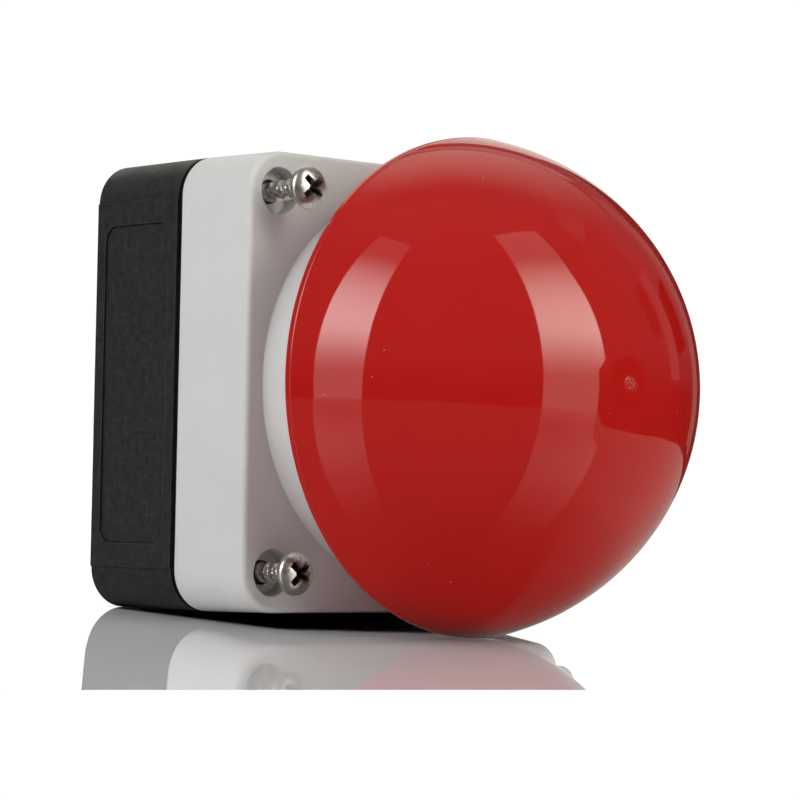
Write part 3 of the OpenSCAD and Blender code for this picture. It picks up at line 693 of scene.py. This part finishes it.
def roughen_gate(bm):
    """The broken-off gate is not quite round, lower on one side and uneven inside."""
    reach = GATE_R + GATE_HALF
    for v in bm.verts:
        r = math.hypot(v.co.x, v.co.z)
        if v.co.y > TOP_Y + DOME_WALL / 2 or r > reach or r < ON_AXIS:
            continue
        a = math.atan2(v.co.z, v.co.x)
        share = math.sin(math.pi * r / reach)
        stretch = 1.0 + GATE_OVAL * share * math.sin(2 * a + OVAL_TURN)
        v.co.x *= stretch
        v.co.z *= stretch
        v.co.y += GATE_TILT * share * (1.0 + math.sin(a + TILT_TURN))
        if r < GATE_R:
            v.co.y += GATE_WAVE * share * (1.0 + math.sin(WAVE_COUNT * a + WAVE_TWIST * r / reach))


def build_dome():
    """Dome in place of its solid."""
    bm = bmesh.new()
    add_to(bm, *lathe(dome_profile(), DOME_STEPS))
    roughen_gate(bm)
    for i in range(RIB_COUNT):
        add_to(bm, *dome_rib(2 * math.pi * i / RIB_COUNT))
    dome = finish_bmesh(bm, "dome_shell", DOME_CRISP)
    dress(dome, "dome_red")
    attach(dome, "actuator")
    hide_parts("dome_cap")


build_dome()


# Cover screws: pan head with a cross recess, and a coarse plastics thread

def thread_radius(phase):
    """Section of the thread over one pitch: a narrow ridge on a plain root."""
    share = abs(phase - 0.5) / (THREAD_RIDGE / 2)
    rise = max(0.0, min(1.0, (1.0 - share) * THREAD_STEEPNESS))
    return THREAD_ROOT / 2 + (SHANK_D - THREAD_ROOT) / 2 * rise


def threaded_shank(bm, length):
    """Helical thread along +Z from its tip at 0."""
    rows = int(length / THREAD_PITCH * THREAD_ROWS)
    rings = []
    for k in range(rows + 1):
        z = length * k / rows
        taper = min(1.0, TIP_SHARE + (1.0 - TIP_SHARE) * z / TIP_LEN)
        ring = []
        for i in range(THREAD_AROUND):
            a = 2 * math.pi * i / THREAD_AROUND
            r = thread_radius((z / THREAD_PITCH - i / THREAD_AROUND) % 1.0) * taper
            ring.append(bm.verts.new((r * math.cos(a), r * math.sin(a), z)))
        rings.append(ring)
    join_rings(bm, rings)


def head_profile():
    """Pan head from its bearing face to its crown: (radius, height)."""
    r = HEAD_D / 2
    edge = [(0.0, 0.0), (r - HEAD_CHAMFER, 0.0), (r, CHAMFER_H), (r, HEAD_EDGE)]
    angles = [math.radians(a) for a in range(CROWN_STEP, 90, CROWN_STEP)]
    crown = [(r * math.cos(a), HEAD_EDGE + (HEAD_H - HEAD_EDGE) * math.sin(a)) for a in angles]
    return edge + crown + [(0.0, HEAD_H)]


def tapered_prism(bm, outline, floor, top, scales):
    """Prism from a floor to a top height, where its outline has these two scales."""
    ends = zip(scales, (floor, top))
    join_rings(bm, [[bm.verts.new((x * scale, y * scale, z)) for x, y in outline] for scale, z in ends])


def cross_outline(reach, half):
    """Plus sign as twelve corners."""
    quarter = [(half, half), (half, reach), (-half, reach)]
    outline = []
    for c, s in ((1, 0), (0, 1), (-1, 0), (0, -1)):
        outline += [(x * c - y * s, x * s + y * c) for x, y in quarter]
    return outline


def cross_cutter():
    """What the cross recess takes out of a head."""
    bm = bmesh.new()
    top = HEAD_H + CUT_PAST
    tapered_prism(bm, cross_outline(RECESS_REACH, WING_HALF), RECESS_FLOOR, top, WING_SCALES)
    half = NOTCH_R * math.sqrt(0.5)
    square = [(half, half), (-half, half), (-half, -half), (half, -half)]
    tapered_prism(bm, square, RECESS_FLOOR + NOTCH_RISE, top, NOTCH_SCALES)
    for i in range(4):
        place = Matrix.Rotation(math.radians(45 + 90 * i), 4, "Z")
        place = place @ Matrix.Translation((MARK_AT, 0, HEAD_H - MARK_DROP))
        place = place @ Matrix.Rotation(MARK_TILT, 4, "Y")
        bmesh.ops.create_cube(bm, size=1.0, matrix=place @ Matrix.Diagonal((*MARK_SIZE, 1)))
    bmesh.ops.recalc_face_normals(bm, faces=bm.faces)
    return add_object("cross_cutter", mesh_of(bm, "cross_cutter"))


def head_mesh():
    """Pan head with its recess cut out, standing on z = 0."""
    verts, faces = lathe(head_profile(), HEAD_STEPS)
    bm = bmesh.new()
    add_to(bm, [(x, -z, y) for x, y, z in verts], faces)
    bmesh.ops.recalc_face_normals(bm, faces=bm.faces)
    head = add_object("pan_head", mesh_of(bm, "pan_head"))
    cutter = cross_cutter()
    cut = head.modifiers.new("recess", "BOOLEAN")
    cut.object = cutter
    cut.operation = "DIFFERENCE"
    cut.solver = "EXACT"
    cut.use_self = True
    graph = bpy.context.evaluated_depsgraph_get()
    result = bpy.data.meshes.new_from_object(head.evaluated_get(graph))
    bpy.data.objects.remove(head)
    bpy.data.objects.remove(cutter)
    return result


def build_screws():
    """Four screws, each turned to its own angle, in one piece that stands for the group."""
    one = bmesh.new()
    one.from_mesh(head_mesh())
    bmesh.ops.translate(one, verts=one.verts, vec=(0, 0, SHANK_LEN))
    threaded_shank(one, SHANK_LEN)
    mesh = mesh_of(one, "one_screw")
    half_x = screws_high.x - HEAD_D / 2
    half_z = screws_high.z - HEAD_D / 2
    upright = Matrix.Rotation(math.radians(90), 4, "X")
    stands = {1: UPPER_STAND, -1: LOWER_STAND}
    group = bmesh.new()
    for (sx, sz), angle in SCREW_TURNS.items():
        copy = bmesh.new()
        copy.from_mesh(mesh)
        tip_y = FACE_Y - stands[sz] + SHANK_LEN
        place = Matrix.Translation((sx * half_x, tip_y, sz * half_z))
        copy.transform(place @ upright @ Matrix.Rotation(math.radians(angle), 4, "Z"))
        placed = mesh_of(copy, "placed_screw")
        group.from_mesh(placed)
        bpy.data.meshes.remove(placed)
    screws = finish_bmesh(group, "cover_screws_threaded", SCREW_CRISP)
    dress(screws, "screw_steel")
    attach(screws, "enclosure")
    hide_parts("cover_screws")


build_screws()


# Camera at the photograph's viewing angle; its picture is 800 pixels wide
PICTURE = 800
FOCAL_PX = 3102.76
SENSOR = 36.0
VIEW_AZIMUTH = math.radians(-41.738)
VIEW_ELEVATION = math.radians(-2.302)
VIEW_ROLL = math.radians(1.115)
DISTANCE = 595.267 * MM
AIM_RIGHT = -2.924 * MM
AIM_UP = -2.029 * MM


def place_camera():
    """Camera that aims beside the middle of the cover's face; gives its place."""
    back = Vector((
        math.sin(VIEW_AZIMUTH) * math.cos(VIEW_ELEVATION),
        -math.cos(VIEW_AZIMUTH) * math.cos(VIEW_ELEVATION),
        math.sin(VIEW_ELEVATION),
    ))
    level = Vector((math.cos(VIEW_AZIMUTH), math.sin(VIEW_AZIMUTH), 0.0))
    above = back.cross(level)
    right = level * math.cos(VIEW_ROLL) + above * math.sin(VIEW_ROLL)
    up = above * math.cos(VIEW_ROLL) - level * math.sin(VIEW_ROLL)
    target = Vector((0, FACE_Y, 0)) + right * AIM_RIGHT + up * AIM_UP
    place = Matrix((right, up, back)).transposed().to_4x4()
    place.translation = target + back * DISTANCE
    data = bpy.data.cameras.new("camera")
    data.sensor_width = SENSOR
    data.lens = FOCAL_PX * SENSOR / PICTURE
    data.clip_start = 0.01
    data.clip_end = 50
    camera = bpy.data.objects.new("camera", data)
    scene.collection.objects.link(camera)
    camera.matrix_world = place
    scene.camera = camera
    return place


camera_place = place_camera()


# Stage: glossy pale floor, white backdrop, two softboxes, soft fill and a dim room

# Tints and distances; a row of the room has two heights of a ray, and the strength or the factor at each
WHITE = (1.0, 1.0, 1.0)
BLACK = (0.0, 0.0, 0.0)
LEFT_TINT = (1.0, 0.985, 0.955)
RIGHT_TINT = (1.0, 0.955, 0.86)
ROOM_TINT = (1.0, 0.95, 0.85)
BACKGROUND = 1.05
LOW_ROOM = (-0.06, 0.28, 0.015, 0.13)
HIGH_ROOM = (0.75, 1.0, 1.0, 1.55)
MIDDLE_DEPTH = 15 * MM
DOME_MIDDLE = Vector((0, RIM_Y - MIDDLE_DEPTH, 0))
SOFTBOX_AWAY = 0.9
WALL_AWAY = 2.2
STRIP_AWAY = 1.5
CEILING_AWAY = 1.2
ROOM_AWAY = 1.9

# Floor: it touches the base's rear edge and the dome's rim; its sheet ends at a row of the picture
FLOOR_POINT = Vector((0, 0, base_low.z))
FLOOR_SLOPE = (base_low.z - dome_low.z) / (base_high.y - RIM_Y)
FLOOR_NORMAL = Vector((0, -FLOOR_SLOPE, 1)).normalized()
FLOOR_ROUGHNESS = 0.03
SHEET_FRONT_ROW = 690
SHEET_COLUMNS = (-1400, 2200)
SHEET_HALF = 1.5
SHEET_DEPTH = 1.6
SHEET_TONE = (0.71, 0.724, 0.752)
SHEET_GLOW = 0.04
SHEET_ROUGHNESS = 0.012

# Layers just below the sheet: one throws light back all round, a duller one lies about the box and a dark
# one under it is painted shade, and the gloss mirrors the last
BOUNCE = 0.21
BOUNCE_REACH = 2.5
BOUNCE_BELOW = 0.3 * MM
SHADE_BELOW = 0.25 * MM
COVERED_BELOW = 0.2 * MM
MIRROR_BELOW = 0.1 * MM
PALE_TONE = 0.8
UNDER_BOX_SHADE_TONE = 0.02
SHADE_OUTLINE_MM = ((-28, -72), (45, -72), (45, 5), (-38, 5), (-38, -46), (-28, -46))
COVERED_OUTLINE_MM = ((-36, -46), (42, -46), (42, 0), (-36, 0))

# The mirrored layer: its tones, and its edge as azimuths and distances from the dome, round on the left
MIRROR_MIDDLE = Vector((0, -79 * MM, 0))
MIRROR_RIGHT = 100
MIRROR_TONES = (0.15, 0.46)
MIRROR_SHADE = 0.27
MIRROR_SHADE_REACH = 0.07
MIRROR_GLOSS = 0.5
MIRROR_ROUND = [(azimuth, 0.45) for azimuth in (-180, -135, -90, -45, 0, 25)]
MIRROR_EDGE = MIRROR_ROUND + [
    (27, 0.235), (42, 0.225), (54, 0.23), (66, 0.255), (78, 0.275), (90, 0.31),
    (102, 0.31), (114, 0.29), (122, 0.3), (124, 2.4), (170, 2.4),
]

# Edges of the painted shadow in the gap under the box, and of its footprint: the axis across an edge, its
# position and its softness
LEFT_EDGE = (Vector((1.0, 0.162, 0.0)), -38.3 * MM, 2 * MM)
REAR_EDGE = (Vector((0.0, -1.0, 0.0)), -4 * MM, 3 * MM)
SHADOW_EDGES = (
    LEFT_EDGE,
    REAR_EDGE,
    (Vector((0.335, 1.0, 0.0)), -55.7 * MM, 4 * MM),
    (Vector((-1.0, 1.0, 0.0)), -72 * MM, 4 * MM),
)
BOX_EDGES = (
    LEFT_EDGE,
    REAR_EDGE,
    (Vector((0.0, 1.0, 0.0)), -47 * MM, 1.5 * MM),
    (Vector((-1.0, 0.0, 0.0)), -46 * MM, 3 * MM),
)

# Red light that the dome's wall lets through onto the cover: a ring inside the rim
SHINE = 0.6
SHINE_TONE = (1.0, 0.04, 0.03)
SHINE_INSET = 6 * MM
SHINE_DEPTH = 1 * MM
SHINE_STEPS = 64

# Broad soft light: azimuth, elevation, distance, width, height and strength
FILLS = {
    "fill_rear": (-127, 16, 0.95, 0.6, 0.8, 1.25),
    "fill_above": (-100, 60, 1.0, 0.5, 0.5, 2.7),
    "fill_right": (45, 12, 1.0, 0.5, 0.5, 0.9),
}

# What stands behind the object, as azimuths and elevations from the dome
WALL_FOOT = ((127, 0.8), (180, 0.8), (180, 9), (127, 9))
WALL = ((127, 9), (180, 9), (180, 52), (150, 44.5), (140, 39), (132, 33), (127, 29.5))
STRIP = (
    (116, 33.5), (124, 36), (132, 39), (140, 43.5), (150, 48),
    (150, 50), (140, 46.8), (128, 42.8), (116, 38),
)
CEILING = (
    (80, 30), (100, 34.5), (116, 39), (128, 43.8), (140, 47.8),
    (150, 51), (170, 57), (215, 57), (215, 84), (80, 84),
)

# Outline, distance, strength and tint of the even cards among them
BACKDROP = {
    "backdrop_foot": (WALL_FOOT, WALL_AWAY, 1.4, WHITE),
    "backdrop": (WALL, WALL_AWAY, 0.95, ROOM_TINT),
    "back_strip": (STRIP, STRIP_AWAY, 0.48, ROOM_TINT),
}

# Paler and darker places of the room that the dome mirrors: azimuths, elevations and strength
ROOM = {
    "room_window": (60, 80, 49, 57, 0.3),
    "room_post": (77, 86, 4, 29, 0.25),
    "room_door": (104, 113, -4.5, 34, 0.22),
    "room_dark_near": (66, 76, 15, 29, 0.05),
    "room_dark_middle": (86, 98, 9, 22, 0.0),
    "room_dark_low": (76, 99, -7, 2, 0.01),
    "room_dark_edge": (113, 126, -6, 24, 0.03),
    "room_dark_front": (34, 48, -5, 10, 0.0),
}


# Stage helpers

def heading(azimuth, elevation=0.0):
    """Direction as the views count it: azimuth 0 is in front of the dome."""
    a, e = math.radians(azimuth), math.radians(elevation)
    return Vector((math.sin(a) * math.cos(e), -math.cos(a) * math.cos(e), math.sin(e)))


def card(name, corners, material):
    """Flat piece of the studio, out of the camera's sight."""
    obj = add_object(name, mesh_from(name, [tuple(c) for c in corners], [tuple(range(len(corners)))]))
    obj.data.materials.append(material)
    obj.visible_camera = False
    return obj


def seen_by(obj, camera=False, diffuse=False, glossy=False):
    """Limits a piece of the studio to some kinds of rays; it casts no shadow."""
    obj.visible_camera = camera
    obj.visible_diffuse = diffuse
    obj.visible_glossy = glossy
    obj.visible_transmission = False
    obj.visible_shadow = False


def square_card(name, azimuth, elevation, away, width, height, material):
    """Card that faces the dome from a direction and a distance."""
    side = heading(azimuth + 90) * (width / 2)
    rise = heading(azimuth, elevation + 90) * (height / 2)
    middle = DOME_MIDDLE + heading(azimuth, elevation) * away
    corners = [middle - side - rise, middle + side - rise, middle + side + rise, middle - side + rise]
    return card(name, corners, material)


def sky_card(name, outline, away, material):
    """Flat card whose corners lie in the given (azimuth, elevation) directions from the dome."""
    rays = [heading(*corner) for corner in outline]
    facing = sum(rays, Vector()).normalized()
    return card(name, [DOME_MIDDLE + ray * (away / ray.dot(facing)) for ray in rays], material)


def floor_place(column, row):
    """Point of the floor that the camera sees at a pixel."""
    across = (column - PICTURE / 2) / FOCAL_PX
    down = (row - PICTURE / 2) / FOCAL_PX
    origin = camera_place.translation
    ray = camera_place.to_3x3() @ Vector((across, -down, -1))
    return origin + ray * ((FLOOR_POINT - origin).dot(FLOOR_NORMAL) / ray.dot(FLOOR_NORMAL))


def below_floor(x, y, below):
    """Point a little below the floor."""
    return Vector((x, y, FLOOR_POINT.z + FLOOR_SLOPE * y - below))


def on_floor(azimuth, away, below):
    """Point a little below the floor, in a direction from the dome."""
    place = MIRROR_MIDDLE + heading(azimuth) * away
    return below_floor(place.x, place.y, below)


# Stage materials

def glow_material(name, colour):
    """Material that only gives light, with its node tree and the light's node."""
    mat = bpy.data.materials.new(name)
    mat.use_nodes = True
    tree = mat.node_tree
    tree.nodes.clear()
    glow = tree.nodes.new("ShaderNodeEmission")
    glow.inputs["Color"].default_value = (*colour, 1.0)
    out = tree.nodes.new("ShaderNodeOutputMaterial")
    tree.links.new(glow.outputs["Emission"], out.inputs["Surface"])
    return mat, tree, glow


def even_glow(name, strength, colour=WHITE):
    """The same light all over."""
    mat, _, glow = glow_material(name, colour)
    glow.inputs["Strength"].default_value = strength
    return mat


def softbox_glow(name, colour, peak, foot, head, rise, fall):
    """Brightest at one height; foot and head are the shares of the peak at the floor and at the top."""
    mat, tree, glow = glow_material(name, colour)
    split = tree.nodes.new("ShaderNodeSeparateXYZ")
    tree.links.new(object_coords(tree), split.inputs["Vector"])
    height = split.outputs["Z"]
    below = ramp(tree, height, *rise, foot * peak, peak)
    above = ramp(tree, height, *fall, 1.0, head)
    tree.links.new(product(tree, below, above), glow.inputs["Strength"])
    return mat


def ceiling_glow(name, limits, azimuth, elevation, right, left, upward):
    """Fades to the right and left of a direction and above it, between the distances given for each."""
    mat, tree, glow = glow_material(name, ROOM_TINT)
    middle = DOME_MIDDLE + heading(azimuth, elevation) * CEILING_AWAY
    offset = vector_node(tree, "SUBTRACT", object_coords(tree), middle)
    fades = (
        (heading(azimuth - 90), right),
        (heading(azimuth + 90), left),
        (heading(azimuth, elevation + 90), upward),
    )
    shares = []
    for axis, (near, far) in fades:
        along = vector_node(tree, "DOT_PRODUCT", offset, axis)
        shares.append(ramp(tree, along, near, far, 1.0, 0.0))
    strength = remap(tree, product(tree, *shares), 0.0, 1.0, *limits)
    tree.links.new(strength, glow.inputs["Strength"])
    return mat


def covered_share(tree, edges):
    """1 inside all the edges, each an axis with a position and a softness; fades to 0 outside."""
    coords = object_coords(tree)
    shares = []
    for axis, edge, softness in edges:
        along = vector_node(tree, "DOT_PRODUCT", coords, axis)
        shares.append(ramp(tree, along, edge - softness, edge + softness, 0.0, 1.0))
    return product(tree, *shares)


def floor_finish(name, roughness, glow_tint):
    """What the floor's materials have in common: gloss, and the tint of the light that they give."""
    mat, tree, shader = new_material(name)
    shader.inputs["Roughness"].default_value = roughness
    shader.inputs["IOR"].default_value = PLASTIC_IOR
    shader.inputs["Emission Color"].default_value = (*glow_tint, 1.0)
    return mat, tree, shader


def floor_material(name, tone, glow=0.0):
    """Even grey floor."""
    mat, _, shader = floor_finish(name, FLOOR_ROUGHNESS, WHITE)
    shader.inputs["Base Color"].default_value = (tone, tone, tone, 1.0)
    shader.inputs["Emission Strength"].default_value = glow
    return mat


def sheet_material():
    """Glossy sheet with a painted shadow, black and without glow, in the narrow gap where the box stands
    over it.
    """
    mat, tree, shader = floor_finish("floor_sheet", SHEET_ROUGHNESS, WHITE)
    # Painted shadow: black where the box stands over the sheet
    covered = covered_share(tree, SHADOW_EDGES)
    tree.links.new(mix_colour(tree, covered, SHEET_TONE, BLACK), shader.inputs["Base Color"])
    tree.links.new(remap(tree, covered, 0.0, 1.0, SHEET_GLOW, 0.0), shader.inputs["Emission Strength"])
    return mat


def mirrored_floor_material():
    """Floor as gloss mirrors it: shaded close to the dome, and paler on the right."""
    mat, tree, shader = floor_finish("floor_mirrored", FLOOR_ROUGHNESS, ROOM_TINT)
    shader.inputs["Base Color"].default_value = (*BLACK, 1.0)
    offset = vector_node(tree, "SUBTRACT", object_coords(tree), on_floor(0, 0, 0))
    away = vector_node(tree, "LENGTH", offset)
    outward = vector_node(tree, "NORMALIZE", offset)
    rightward = vector_node(tree, "DOT_PRODUCT", outward, heading(MIRROR_RIGHT))
    tone = ramp(tree, rightward, -0.5, 0.6, *MIRROR_TONES)
    open_share = ramp(tree, away, 0.0, MIRROR_SHADE_REACH, MIRROR_SHADE, 1.0)
    # Painted shade: no glow over the box's footprint
    lit = remap(tree, covered_share(tree, BOX_EDGES), 0.0, 1.0, 1.0, 0.0)
    tree.links.new(product(tree, tone, open_share, lit), shader.inputs["Emission Strength"])
    gloss = ramp(tree, rightward, 0.5, 0.85, MIRROR_GLOSS, 0.0)
    tree.links.new(gloss, shader.inputs["Specular IOR Level"])
    return mat


# Stage pieces

def build_floor():
    """Pale glossy sheet, and the layers of it that light and gloss see."""
    left = floor_place(SHEET_COLUMNS[0], SHEET_FRONT_ROW)
    right = floor_place(SHEET_COLUMNS[1], SHEET_FRONT_ROW)
    along = (right - left).normalized()
    middle = (left + right) / 2
    reach = along * SHEET_HALF
    depth = along.cross(FLOOR_NORMAL) * -SHEET_DEPTH
    corners = [middle - reach, middle + reach, middle + reach + depth, middle - reach + depth]
    seen_by(card("floor", corners, sheet_material()), camera=True)
    corners = [on_floor(azimuth, BOUNCE_REACH, BOUNCE_BELOW) for azimuth in range(0, 360, 45)]
    seen_by(card("floor_bounce", corners, floor_material("floor_bounce", PALE_TONE, BOUNCE)), diffuse=True)
    corners = [below_floor(x * MM, y * MM, SHADE_BELOW) for x, y in SHADE_OUTLINE_MM]
    seen_by(card("floor_shade", corners, floor_material("floor_shade", PALE_TONE)), diffuse=True)
    # Painted shade: a near-black layer under the box
    corners = [below_floor(x * MM, y * MM, COVERED_BELOW) for x, y in COVERED_OUTLINE_MM]
    seen_by(card("floor_covered", corners, floor_material("floor_covered", UNDER_BOX_SHADE_TONE)), diffuse=True)
    corners = [on_floor(azimuth, away, MIRROR_BELOW) for azimuth, away in MIRROR_EDGE]
    seen_by(card("floor_mirrored", corners, mirrored_floor_material()), glossy=True)


def build_softboxes():
    """Tall softboxes on the left and in front; below the floor they only show in the gloss."""
    glow = softbox_glow(
        "softbox_left", LEFT_TINT, peak=7.5, foot=0.18, head=0.09, rise=(0.05, 0.42), fall=(0.38, 1.3))
    x = -SOFTBOX_AWAY
    top, foot, end = 1.72, -0.045, -0.15
    card("softbox_left", [(x, 0.12, foot), (x, -0.215, foot), (x, -0.31, top), (x, 0.14, top)], glow)
    under = [(x, 0.12, end), (x, -0.21, end), (x, -0.215, foot), (x, 0.12, foot)]
    seen_by(card("softbox_left_foot", under, glow), glossy=True)
    glow = softbox_glow(
        "softbox_right", RIGHT_TINT, peak=6.8, foot=0.2, head=0.15, rise=(0.03, 0.45), fall=(0.42, 1.4))
    y = DOME_MIDDLE.y - SOFTBOX_AWAY
    near, far = -0.05, 0.43
    top, foot, end = 2.27, -0.1, -0.22
    outline = [(near, y, foot), (far, y, foot), (far, y, 0.12), (0.52, y, 0.2), (0.53, y, 1.0)]
    card("softbox_right", outline + [(0.7, y, top), (near, y, top)], glow)
    under = [(near, y, end), (far, y, end), (far, y, foot), (near, y, foot)]
    seen_by(card("softbox_right_foot", under, glow), glossy=True)


def build_fills():
    """Soft light that the gloss does not mirror."""
    for name, (azimuth, elevation, away, width, height, strength) in FILLS.items():
        fill = square_card(name, azimuth, elevation, away, width, height, even_glow(name, strength))
        fill.visible_glossy = False


def build_red_shine():
    """Ring of red light inside the dome's rim, which only matt surfaces show."""
    y = RIM_Y - SHINE_DEPTH
    verts, faces = lathe([(RIM_R - SHINE_INSET, y), (RIM_R - DOME_WALL, y)], SHINE_STEPS)
    ring = add_object("red_shine", mesh_from("red_shine", verts, faces))
    ring.data.materials.append(even_glow("red_shine", SHINE, SHINE_TONE))
    seen_by(ring, diffuse=True)


def build_backdrop():
    """White wall behind the object with a sloping top, and over it a pale strip and a pale ceiling."""
    for name, (outline, away, strength, tint) in BACKDROP.items():
        sky_card(name, outline, away, even_glow(name, strength, tint))
    glow = ceiling_glow(
        "back_ceiling", limits=(0.17, 0.88), azimuth=150, elevation=56,
        right=(0.1, 0.95), left=(0.12, 0.65), upward=(0.08, 0.64))
    sky_card("back_ceiling", CEILING, CEILING_AWAY, glow)


def build_room():
    """Cards for the places of the room, which only the gloss shows."""
    for name, (left, right, low, high, strength) in ROOM.items():
        outline = [(left, low), (right, low), (right, high), (left, high)]
        seen_by(sky_card(name, outline, ROOM_AWAY, even_glow(name, strength, ROOM_TINT)), glossy=True)


def build_world():
    """White all round for the picture, and a dim room for what the object mirrors."""
    world = bpy.data.worlds.new("studio")
    scene.world = world
    world.use_nodes = True
    tree = world.node_tree
    tree.nodes.clear()
    seen = tree.nodes.new("ShaderNodeBackground")
    seen.inputs["Strength"].default_value = BACKGROUND
    room = tree.nodes.new("ShaderNodeBackground")
    split = tree.nodes.new("ShaderNodeSeparateXYZ")
    tree.links.new(tree.nodes.new("ShaderNodeTexCoord").outputs["Generated"], split.inputs["Vector"])
    low = ramp(tree, split.outputs["Z"], *LOW_ROOM)
    high = ramp(tree, split.outputs["Z"], *HIGH_ROOM)
    tree.links.new(product(tree, low, high), room.inputs["Strength"])
    for node in (seen, room):
        node.inputs["Color"].default_value = (*WHITE, 1.0)
    path = tree.nodes.new("ShaderNodeLightPath")
    mix = tree.nodes.new("ShaderNodeMixShader")
    out = tree.nodes.new("ShaderNodeOutputWorld")
    tree.links.new(path.outputs["Is Camera Ray"], mix.inputs["Fac"])
    tree.links.new(room.outputs["Background"], mix.inputs[1])
    tree.links.new(seen.outputs["Background"], mix.inputs[2])
    tree.links.new(mix.outputs["Shader"], out.inputs["Surface"])


build_floor()
build_softboxes()
build_fills()
build_red_shine()
build_backdrop()
build_room()
build_world()
scene.view_settings.view_transform = "Standard"
